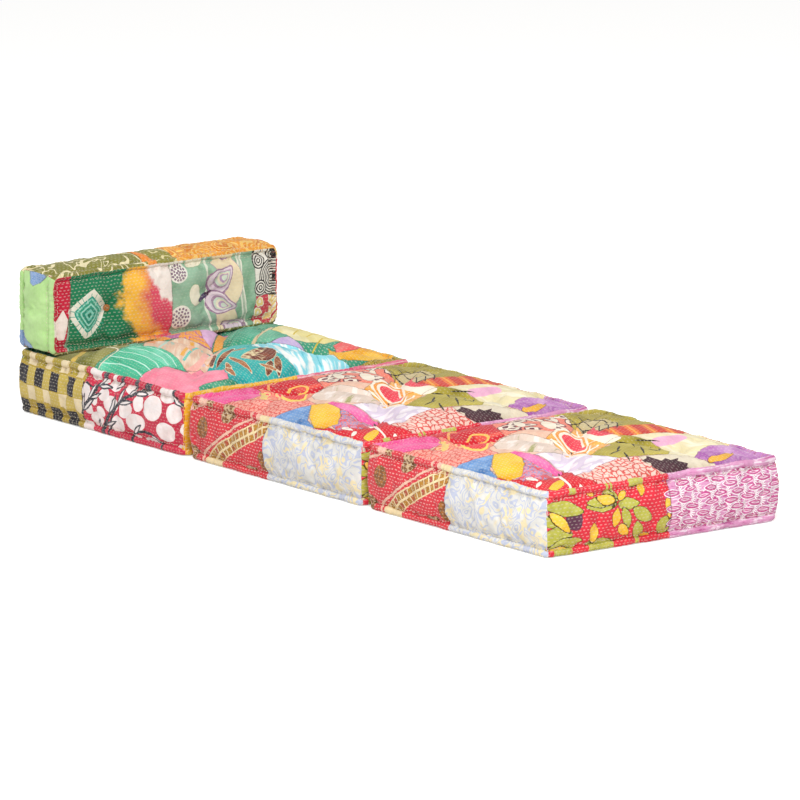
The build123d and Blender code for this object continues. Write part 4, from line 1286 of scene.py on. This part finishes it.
def thread_mesh(name, paths, radius, colours, sides=5):
    """One mesh of many short threads. Each path is a list of points, and has its own colour."""
    vertices, faces, tints = [], [], []
    for path, colour in zip(paths, colours):
        path = np.asarray(path, float)
        run = np.gradient(path, axis=0)
        run /= np.linalg.norm(run, axis=1, keepdims=True) + 1e-12
        side = np.cross(run, (0.31, 0.52, 0.79))
        side /= np.linalg.norm(side, axis=1, keepdims=True) + 1e-12
        for k in range(1, len(path)):
            turned_side = side[k - 1] - run[k] * (side[k - 1] @ run[k])
            side[k] = turned_side / (np.linalg.norm(turned_side) + 1e-12)
        up = np.cross(run, side)
        first = len(vertices)
        for k in range(len(path)):
            for a in range(sides):
                angle = 2 * math.pi * a / sides
                vertices.append(path[k] + radius * (math.cos(angle) * side[k] + math.sin(angle) * up[k]))
        for k in range(len(path) - 1):
            for a in range(sides):
                b = (a + 1) % sides
                faces.append((first + k * sides + a, first + k * sides + b, first + (k + 1) * sides + b,
                              first + (k + 1) * sides + a))
        faces.append(tuple(first + a for a in reversed(range(sides))))
        faces.append(tuple(first + (len(path) - 1) * sides + a for a in range(sides)))
        tints += [colour] * ((len(path) - 1) * sides + 2)
    thing = new_object(name, vertices, faces)
    set_attribute(thing.data, "thread", "FLOAT_COLOR", "FACE", np.array(tints))
    thing.data.polygons.foreach_set("use_smooth", np.ones(len(faces), bool))
    thing.data.materials.append(bpy.data.materials["stitching_thread"])
    return thing


# Soft six-ply cotton thread: matt, with the twist of its plies, drawn as coarse as it needs to show
_, tree, output = new_material("stitching_thread")
tint = add(tree, "Attribute", attribute_name="thread").outputs["Color"]
place = add(tree, "TexCoord").outputs["Object"]
plies = add(tree, "TexNoise", {"Vector": place, "Scale": 900.0, "Detail": 2.0})
shade = add(tree, "MapRange", {0: plies.outputs[0], 1: 0.3, 2: 0.7, 3: 0.72, 4: 1.0}).outputs[0]
shade = add(tree, "CombineColor", {0: shade, 1: shade, 2: shade})
tinted = add(tree, "MixRGB", {0: 1.0, 1: tint, 2: shade}, blend_type="MULTIPLY")
twist = add(tree, "Bump", {"Height": plies.outputs[0], "Strength": 0.5, "Distance": 0.4 * MM})
finish = add(tree, "BsdfPrincipled", {"Base Color": tinted, "Roughness": 0.8, "Sheen Weight": 0.2,
                                      "Normal": twist})
tree.links.new(finish.outputs[0], output.inputs[0])


def edge_line(body, step=3.0 * MM, bend=roll_bend):
    """The rolls' centre line round a cushion: points, outward directions and lengths from the start."""
    straight_u, straight_v = body.half_u - bend, body.half_v - bend
    points, outwards = [], []
    for corner_u, corner_v, begin in ((straight_u, -straight_v, -90), (straight_u, straight_v, 0),
                                      (-straight_u, straight_v, 90), (-straight_u, -straight_v, 180)):
        for angle in np.radians(np.linspace(begin, begin + 90, 8)):
            points.append((corner_u + bend * math.cos(angle), corner_v + bend * math.sin(angle)))
            outwards.append((math.cos(angle), math.sin(angle)))
    line, facing = [], []
    for k, (start, out) in enumerate(zip(points, outwards)):
        end, out_end = points[(k + 1) % len(points)], outwards[(k + 1) % len(points)]
        pieces = max(1, round(math.dist(start, end) / step))
        for f in np.arange(pieces) / pieces:
            line.append(np.array(start) * (1 - f) + np.array(end) * f)
            facing.append(np.array(out) * (1 - f) + np.array(out_end) * f)
    line, facing = np.array(line), np.array(facing)
    facing /= np.linalg.norm(facing, axis=1, keepdims=True)
    steps = np.linalg.norm(np.roll(line, -1, axis=0) - line, axis=1)
    return line, facing, np.concatenate([[0], np.cumsum(steps)[:-1]]), steps.sum()


def nipped(lengths, radius, gap, seed):
    """Radius of a roll along its length: lumpy, and nipped in at each stitch."""
    lumps = np.array([noise.noise((length / 19, seed, 0.3)) + 0.7 * noise.noise((length / 60, seed, 5.3))
                      for length in lengths])
    from_stitch = (lengths + gap / 2) % gap - gap / 2
    return radius * np.minimum(1.04, 0.95 + 0.15 * lumps - nip * np.exp(-(from_stitch / 3.0) ** 2))


def scraps_at(scraps, places):
    """Number of the scrap or large motif that shows at each place of a flat panel."""
    found = np.zeros(len(places), int)
    for number, piece in enumerate(scraps):
        if piece["sewn"] or np.ptp(piece["outline"], axis=0).min() > 24:
            found[inside(places, piece["outline"])] = number
    return found


def roll_edge(node, body, panels, tufted_end, seed):
    """Roll the edge round the front or the rear face. Its outer half shows the side's cloth."""
    line, facing, lengths, whole = edge_line(body)
    w = body.depth if tufted_end else 0.0
    stretch = round(whole / MM / stitch_gap) * stitch_gap / (whole / MM)
    radii = nipped(lengths / MM * stretch, body.roll, stitch_gap, seed)
    if not tufted_end:
        radii = np.minimum(radii, body.roll)
    wander = np.array([[noise.noise((length / 0.047, seed, k)) for k in (2.1, 7.7)]
                       for length in lengths]) * MM
    rise = wander[:, 1] * 3.2 if tufted_end else np.clip(wander[:, 1], 0, 1) * 1.5
    middle = np.stack([line[:, 0], line[:, 1], w + rise], axis=-1)
    out = np.stack([facing[:, 0], facing[:, 1], np.zeros(len(line))], axis=-1)
    up = np.tile((0.0, 0.0, 1.0), (len(line), 1))
    middle = middle + out * (2.4 * wander[:, :1] + 0.8 * MM)
    points, quads, angles = swept(middle, out, up, radii, closed=True)
    roll = new_object(node + "_cloth", body.place(*points.T), quads)

    # Each stretch of roll takes the cloth of the band outside it and of the panel inside it
    side_of = np.where(abs(facing[:, 0]) > abs(facing[:, 1]), np.where(facing[:, 0] > 0, "u+", "u-"),
                       np.where(facing[:, 1] > 0, "v+", "v-"))
    end = "w+" if tufted_end else "w-"
    order = [end, "v-", "u+", "v+", "u-"]
    offsets = np.cumsum([0] + [len(panels[face]) for face in order])
    scraps = [piece for face in order for piece in panels[face]]
    on_end = np.stack(flat_place(body, end, line[:, 0], line[:, 1], np.full(len(line), w)), axis=-1)
    margin = np.array((30.0, 22.0))
    within = np.clip(on_end, margin, np.array((2 * body.reach_u, 2 * body.reach_v)) / MM - margin)
    inner = scraps_at(panels[end], within)
    on_side, outer = np.zeros((len(line), 2)), np.zeros(len(line), int)
    for face in order[1:]:
        here = side_of == face
        at = flat_place(body, face, line[here, 0], line[here, 1], np.full(here.sum(), w))
        on_side[here] = np.stack(at, axis=-1)
        probe = on_side[here] + (0, -5 if tufted_end else 5)
        outer[here] = scraps_at(panels[face], probe) + offsets[order.index(face)]
    sides = len(angles)
    middle_angles = angles + math.pi / sides
    if tufted_end:
        shows_side = middle_angles < math.radians(100)
    else:
        shows_side = (middle_angles < math.pi / 2) | (middle_angles > math.radians(250))
    owner = np.where(shows_side[None, :], outer[:, None], inner[:, None])
    after = np.roll(on_side, -1, axis=0)
    jumps = abs(after[:, 0] - on_side[:, 0]) > 20
    after[jumps] = on_side[jumps] + (3, 0)
    after_end = np.roll(within, -1, axis=0)
    start_place = np.where(shows_side[None, :, None], on_side[:, None], within[:, None])
    after_place = np.where(shows_side[None, :, None], after[:, None], after_end[:, None])
    corners = np.stack([start_place, after_place, after_place, start_place], axis=2)
    next_angles = angles + 2 * math.pi / sides
    corners[..., 1] += body.roll / MM * np.stack([angles, angles, next_angles, next_angles], axis=-1)
    owner, xs, ys = owner.ravel(), corners[..., 0].ravel(), corners[..., 1].ravel()
    far = np.full(len(points), 30.0)
    dress(roll.data, xs, ys, owner, scraps, far, far)
    stuffed(roll, body, node)

    # Whip stitches, each a slanting half loop from the seam in the side over the roll
    paths, colours = [], []
    rng = random.Random(seed)
    count = round(whole / MM / stitch_gap)
    start, stop = (-35, 205) if tufted_end else (-205, 35)
    for number in range(count):
        at = number * whole / count
        turns = np.radians(np.linspace(start, stop, 11))
        slant = (np.linspace(-0.5, 0.5, 11) * rng.uniform(3, 8) + rng.uniform(-2, 2)) * MM
        where = (at + slant) % whole
        along = np.stack([np.interp(where, lengths, middle[:, k], period=whole) for k in range(3)], axis=-1)
        outwards = np.stack([np.interp(where, lengths, out[:, k], period=whole) for k in range(3)], axis=-1)
        reach = body.roll * (0.95 - nip) + 0.3 * MM
        round_roll = np.cos(turns)[:, None] * outwards + np.sin(turns)[:, None] * np.array((0, 0, 1.0))
        loop = along + reach * round_roll
        paths.append(body.place(*loop.T))
        cloth = scraps[outer[int(np.searchsorted(lengths, at)) % len(line)]]
        share = rng.uniform(0.15, 0.6)
        thread, ground = linear(cloth["thread"]), linear(cloth["ground"])
        colours.append([a * share + b * (1 - share) for a, b in zip(thread, ground)])
    whip = thread_mesh(node + "_whip_stitches", paths, 0.55 * MM, colours)
    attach(whip, body.name)


corner_radius = 8 * MM
corner_stitch_gap = 11.0
corner_sides = 12


def stand_corners(node, body, cloths, seed):
    """The four upright rolls. cloths are given for the corners (u-, v-), (u+, v-), (u+, v+), (u-, v+)."""
    inset = roll_bend * (1 - math.sqrt(0.5))
    low, high = body.roll * 0.6, body.depth - body.roll * 0.6
    vertices, faces, owner, xs, ys, paths, colours = [], [], [], [], [], [], []
    for number, (sign_u, sign_v) in enumerate(((-1, -1), (1, -1), (1, 1), (-1, 1))):
        heights = np.arange(low, high, 2.5 * MM)
        lengths = (heights - low) / MM
        radii = nipped(lengths, corner_radius, corner_stitch_gap, seed + number)
        at_u, at_v = sign_u * (body.half_u - inset), sign_v * (body.half_v - inset)
        sway = np.array([[noise.noise((length / 30, seed + number, k)) for k in (0.1, 5.5)]
                         for length in lengths]) * 0.8 * MM
        middle = np.stack([at_u + sway[:, 0], at_v + sway[:, 1], heights], axis=-1)
        across = np.tile((1.0, 0.0, 0.0), (len(heights), 1))
        up = np.tile((0.0, 1.0, 0.0), (len(heights), 1))
        points, quads, _ = swept(middle, across, up, radii, closed=False, sides=corner_sides)
        first = len(vertices)
        vertices += points.tolist()
        faces += [tuple(first + v for v in quad[::-1]) for quad in quads]
        for quad in quads:
            ring, a = divmod(quad[0], corner_sides)
            owner.append(number)
            xs += [3.6 * a, 3.6 * a + 3.6, 3.6 * a + 3.6, 3.6 * a]
            ys += [lengths[ring], lengths[ring], lengths[ring] + 2.5, lengths[ring] + 2.5]
        for length in np.arange(corner_stitch_gap / 2, lengths[-1], corner_stitch_gap):
            turns = np.linspace(0, 2 * math.pi, 15)
            reach = corner_radius * (0.95 - nip) + 0.5 * MM
            loop = np.stack([at_u + reach * np.cos(turns), at_v + reach * np.sin(turns),
                             low + (length + 2.2 * np.sin(turns / 2)) * MM], axis=-1)
            paths.append(body.place(*loop.T))
            colours.append(linear(cloths[number]["thread"]))
    corners = new_object(node + "_cloth", body.place(*np.array(vertices).T), faces)
    far = np.full(len(vertices), 30.0)
    dress(corners.data, np.array(xs), np.array(ys), np.array(owner), cloths, far, far)
    stuffed(corners, body, node)
    whip = thread_mesh(node + "_whip_stitches", paths, 0.7 * MM, colours)
    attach(whip, body.name)


# The quilting line: a row of long stitches just inside each rolled edge sinks a groove all round
# the panel. The tufts: a doubled waxed twine goes through, and is knotted in front and behind.

def run_stitches(name, body, net, faces, colour):
    """Long running stitches in the groove inside the edges of some faces."""
    paths = []
    for face in faces:
        grid = net_face(net, face)
        size_s = np.linalg.norm(np.diff(grid[:, 0], axis=0), axis=1).sum()
        size_t = np.linalg.norm(np.diff(grid[0], axis=0), axis=1).sum()
        inset = edge_seam_mm * MM
        for size, other, along_s in ((size_s, size_t, True), (size_t, size_s, False)):
            if size < 0.16:
                continue
            count = int((size - 2 * inset) / (9 * MM))
            starts = inset + np.arange(count)[:, None] * (size - 2 * inset) / count
            share = (starts + np.array((0.12, 0.3, 0.5, 0.68)) * (size - 2 * inset) / count).ravel() / size
            wobble = 1.2 * MM / other * np.array([noise.noise((25 * x, other, 0.5)) for x in share])
            for edge in (inset / other, 1 - inset / other):
                s, t = (share, edge + wobble) if along_s else (edge + wobble, share)
                there = between(grid, s, t)
                out = np.cross(between(grid, s + 0.01, t) - between(grid, s - 0.01, t),
                               between(grid, s, t + 0.01) - between(grid, s, t - 0.01))
                out /= np.linalg.norm(out, axis=1, keepdims=True)
                if face in ("v+", "u-", "w-"):
                    out = -out
                lift = np.tile((-1.9, -0.9, -0.9, -1.9), count) * MM
                paths += list(body.place(*(there + out * lift[:, None]).T).reshape(count, 4, 3))
    stitches = thread_mesh(name, paths, 0.6 * MM, [linear(colour)] * len(paths))
    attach(stitches, body.name)


def tie_knots(node, body, places, colour):
    """Knots of doubled twine, pulled tight, with two cut ends. places are u, v, w, sign."""
    paths = []
    for u, v, w, sign in places:
        t = np.linspace(0, 2 * math.pi, 49)
        size = 1.7 * MM
        knot = np.stack([np.sin(t) + 2 * np.sin(2 * t), np.cos(t) - 2 * np.cos(2 * t),
                         -1.1 * np.sin(3 * t)], axis=-1) * size
        paths.append(body.place(*(knot + (u, v, w + sign * 1.5 * MM)).T))
        for turn in (0.7, 2.9):
            f = np.linspace(0, 1, 6)
            end = np.stack([u + math.cos(turn) * (2 + 9 * f) * MM, v + math.sin(turn) * (2 + 9 * f) * MM,
                            w + sign * (2.5 + 3 * np.sin(2.2 * f)) * MM], axis=-1)
            paths.append(body.place(*end.T))
    knots = thread_mesh(node + "_threads", paths, 1.3 * MM, [linear(colour)] * len(paths), sides=7)
    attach(knots, body.name)
    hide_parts(node)


def pack_batting(node, body, net, seed):
    """The filling: a closed block of cotton batting that lies under the cloth all round."""
    shape = net.shape[:3]
    i, j, k = np.meshgrid(*[np.arange(n) for n in shape], indexing="ij")
    on_face = ((i == 0) | (i == shape[0] - 1) | (j == 0) | (j == shape[1] - 1)
               | (k == 0) | (k == shape[2] - 1))
    _, quads = net_quads(on_face, shape)
    batting = new_object(node + "_batting", net[on_face], quads)
    inwards = np.array([vertex.normal for vertex in batting.data.vertices])
    rng = np.random.default_rng(seed)
    points = net[on_face] - inwards * (5.5 + rng.uniform(0, 0.8, len(inwards)))[:, None] * MM
    batting.data.vertices.foreach_set("co", body.place(*points.T).astype(np.float32).ravel())
    batting.data.polygons.foreach_set("use_smooth", np.ones(len(quads), bool))
    batting.data.materials.append(bpy.data.materials["cotton_batting"])
    stuffed(batting, body, node)


# Carded cotton batting: off-white, matt and fluffy
_, tree, output = new_material("cotton_batting")
fluff = add(tree, "TexNoise", {"Vector": add(tree, "TexCoord").outputs["Object"], "Scale": 140.0,
                               "Detail": 4.0})
tone = add(tree, "MixRGB", {0: fluff.outputs[0], 1: linear("d9d0bf"), 2: linear("f2ecdf")})
soft = add(tree, "Bump", {"Height": fluff.outputs[0], "Strength": 0.6, "Distance": 2 * MM})
finish = add(tree, "BsdfPrincipled", {"Base Color": tone, "Roughness": 1.0, "Sheen Weight": 0.3,
                                      "Normal": soft})
tree.links.new(finish.outputs[0], output.inputs[0])


# The three seat modules, from the head to the foot: patchwork covers packed with batting, which lie
# loose beside each other on the floor. The head module's top is pressed flat where the back cushion
# stands on it.

seat_tuft_share = 0.52
half_seat = 350 * MM
# How much of the top the back cushion stands on: its 140 mm, and the crown of its two faces
back_depth = 140 * MM + 2 * (20 - 9) * MM


def diagonal_folds(u, v):
    """The valleys that run from the middle tuft to the four others and on to the corners."""
    return 31 * MM * np.exp(-((abs(abs(u) - abs(v)) / (36 * MM)) ** 2))


def pressed_by_back(u):
    """0 under the back cushion, and 1 where the top is free."""
    held = np.clip((u + half_seat - back_depth - 6 * MM) / (76 * MM), 0, 1)
    return held * held * (3 - 2 * held)


yellow_post = scrap(whole_cloth, "plain_cotton", "f0b82c", "e6a820", stitched=0.0, thread="f8e6b0")
red_post = scrap(whole_cloth, "pebble_printed_cotton", "dcc08c", "8c4a2c", "c8323c", size=10, stitched=0.0)
pale_post = scrap(whole_cloth, "scroll_printed_cotton", "efeadb", "b4bdd6", "f3dfa0", size=30, stitched=0.0)
lime_post = scrap(whole_cloth, "tie_dyed_cotton", "a9bf3a", "cc2436", "f3b726", size=30, stitched=0.0)
pink_post = scrap(whole_cloth, "tie_dyed_cotton", "c24ca4", "f3dcec", "b83a98", size=24, stitched=0.0)
plaid_post = scrap(whole_cloth, "dotted_cotton", "a39a34", "cfc888", "22242a", size=20, stitched=0.0)

pink_side = dict(fabric="brush_printed_cotton", ground="e8708c", pattern="f6c4cc", accent="c84468", size=22)
olive_side = dict(fabric="tendril_printed_cotton", ground="8b9236", pattern="efe3c2", accent="6f7a28",
                  size=34)
blue_side = dict(fabric="scroll_printed_cotton", ground="5c86c0", pattern="efeadb", accent="4c74ae",
                 size=30)


def red_sides(foot_side):
    """The side cloths of the middle and the foot module, which differ only at the foot."""
    return {"v-": red_band(),
            "v+": plain_side("c8323c", "f3dcc8", "8c1a2c", other=olive_side),
            "u-": plain_side("cf2a33", "f3cdb4", "8c1a2c", "pebble_printed_cotton", 12, pink_side),
            "u+": foot_side}


green_sides = {
    "v-": head_band(),
    "v+": plain_side("3f9a78", "efe3c2", "57ac8a", other=olive_side),
    "u-": plain_side("e8a030", "f6d48c", "c83a30", "flower_printed_cotton", other=blue_side),
    "u+": plain_side("f0b82c", "f6d070", "d8941c", "tendril_printed_cotton", other=pink_side),
}
seats = {
    "head_seat": (green_top(), green_sides, [plaid_post, yellow_post, yellow_post, plaid_post]),
    "middle_seat": (red_top(), red_sides(foot_end_band(printed=False)),
                    [red_post, pale_post, pale_post, red_post]),
    "foot_seat": (red_top(), red_sides(foot_end_band()), [red_post, lime_post, pink_post, red_post]),
}
band_nodes = {"v-": "near_band", "v+": "far_band", "u-": "head_band", "u+": "foot_band"}
for seed, (name, (top_cloths, side_cloths, post_cloths)) in enumerate(seats.items(), 1):
    body = Body(name, name + "_top_roll", name + "_bottom_roll", (1, 0, 0), (0, 1, 0), (0, 0, 1))
    far_u, far_v = (seat_tuft_share * (half - body.roll) for half in (body.half_u, body.half_v))
    tufts = [(0, 0)] + [(su * far_u, sv * far_v) for su in (-1, 1) for sv in (-1, 1)]
    front = {"rise": 46 * MM, "fold": diagonal_folds, "tufts": tufts, "funnel": 54 * MM, "pull": 6 * MM}
    if name == "head_seat":
        front.update(rise=58 * MM, press=pressed_by_back)
    net = stuff(body, front, None, (), seed)
    for face, node in band_nodes.items():
        sew_panel(f"{name}_{node}", body, net, face, side_cloths[face], seed)
    sew_panel(name + "_top_panel", body, net, "w+", top_cloths, seed, tufts)
    underside = backing()
    sew_panel(name + "_underside_panel", body, net, "w-", underside, seed, pitch=11.0)
    panels = {**side_cloths, "w+": top_cloths, "w-": underside}
    roll_edge(name + "_top_roll", body, panels, True, seed)
    roll_edge(name + "_bottom_roll", body, panels, False, seed + 10)
    stand_corners(name + "_corner_rolls", body, post_cloths, seed)
    run_stitches(name + "_quilting_stitches", body, net, ("v-", "u+", "v+", "u-", "w+"), "f3e6cf")
    pack_batting(name + "_filling", body, net, seed)
    tie_knots(name + "_tuft_knots", body, [(u, v, body.depth - 6 * MM, 1) for u, v in tufts]
              + [(u, v, -1.5 * MM, -1) for u, v in tufts], "3a2a2c")


# The back cushion: the same kind of cover and filling. It stands loose on the head module, with its
# two tufted faces to the front and the rear and its flat bottom band down.

def cross_fold(u, v):
    """A valley across the middle, between the two tufts."""
    return 7 * MM * np.exp(-((u / (34 * MM)) ** 2))


body = Body("back", "back_front_roll", "back_rear_roll", (0, 1, 0), (0, 0, 1), (1, 0, 0), flat_bottom=True)
near_tuft, far_tuft = ((body.half_u - body.roll) * share for share in (-0.53, 0.41))
tufts = [(near_tuft, 0), (far_tuft, 0)]
front = {"rise": 20 * MM, "fold": cross_fold, "tufts": tufts, "funnel": 38 * MM, "pull": 6 * MM}
net = stuff(body, front, front, ("v-",), 9)
rose_side = dict(fabric="flower_printed_cotton", ground="b81e34", pattern="f3dcc8", accent="7a1020",
                 size=30)
panels = {
    "w+": back_front(), "v+": back_top(), "u-": back_end(),
    "w-": plain_side("1f7a50", "e6efe4", "2f8c60", "tendril_printed_cotton", 40, rose_side),
    "v-": plain_side("7c7a38", "efe0b0", "8c8a44", "tendril_printed_cotton", 30),
    "u+": plain_side("d8343c", "f6d27c", "f6f0e2", "flower_printed_cotton", 26),
}
back_nodes = {"w+": "front_panel", "w-": "rear_panel", "v-": "bottom_band", "v+": "top_band",
              "u-": "near_end_band", "u+": "far_end_band"}
for face, node in back_nodes.items():
    sew_panel("back_" + node, body, net, face, panels[face], 9, tufts if face[0] == "w" else ())
crimson_post = scrap(whole_cloth, "plain_cotton", "b81e34", stitched=0.0, thread="f3e6cf")
roll_edge("back_front_roll", body, panels, True, 9)
roll_edge("back_rear_roll", body, panels, False, 19)
stand_corners("back_corner_rolls", body, [crimson_post, red_post, red_post, crimson_post], 9)
run_stitches("back_quilting_stitches", body, net, ("w+", "w-", "v+", "u-", "u+"), "f3e6cf")
pack_batting("back_filling", body, net, 9)
tie_knots("back_tuft_knots", body, [(near_tuft, 0, 4 * MM, -1), (far_tuft, 0, 4 * MM, -1),
                                    (far_tuft, 0, body.depth - 6 * MM, 1)], "5c2c50")


# The tuft twines and the back's tuft button, as the CAD draws them. The twines are drawn tight through
# the cushions and knotted, so all but the two strands over the button are hidden inside.

# Waxed cotton twine: tan, with the lay of its strands and the dull shine of the wax
twine_material, tree, output = new_material("waxed_cotton_twine")
lay = add(tree, "TexWave", {"Vector": add(tree, "TexCoord").outputs["Object"], "Scale": 180.0,
                            "Distortion": 2.0}, bands_direction="DIAGONAL")
tone = add(tree, "MixRGB", {0: lay.outputs["Fac"], 1: linear("8a6a44"), 2: linear("d9c49a")})
ridges = add(tree, "Bump", {"Height": lay.outputs["Fac"], "Strength": 0.6, "Distance": 0.5 * MM})
finish = add(tree, "BsdfPrincipled", {"Base Color": tone, "Roughness": 0.62, "Normal": ridges})
tree.links.new(finish.outputs[0], output.inputs[0])

# Turned hardwood, oiled: orange-brown with close grain and a faint gloss
wood_material, tree, output = new_material("oiled_hardwood")
turned_at = add(tree, "TexCoord").outputs["Object"]
grain_at = add(tree, "VectorMath", {0: turned_at, 1: (1.0, 6.0, 1.0)}, operation="MULTIPLY")
grain = add(tree, "TexNoise", {"Vector": grain_at, "Scale": 260.0, "Detail": 4.0})
tone = add(tree, "MixRGB", {0: grain.outputs[0], 1: linear("8a4a1c"), 2: linear("c8803c")})
pores = add(tree, "Bump", {"Height": grain.outputs[0], "Strength": 0.3, "Distance": 0.3 * MM})
finish = add(tree, "BsdfPrincipled", {"Base Color": tone, "Roughness": 0.42, "Coat Weight": 0.2,
                                      "Normal": pores})
tree.links.new(finish.outputs[0], output.inputs[0])

twines = [(name + "_tuft_twines", twine_material) for name in (*seats, "back")]
for node, material in (*twines, ("back_tuft_button", wood_material)):
    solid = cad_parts[node]
    solid.data.materials.clear()
    solid.data.materials.append(material)
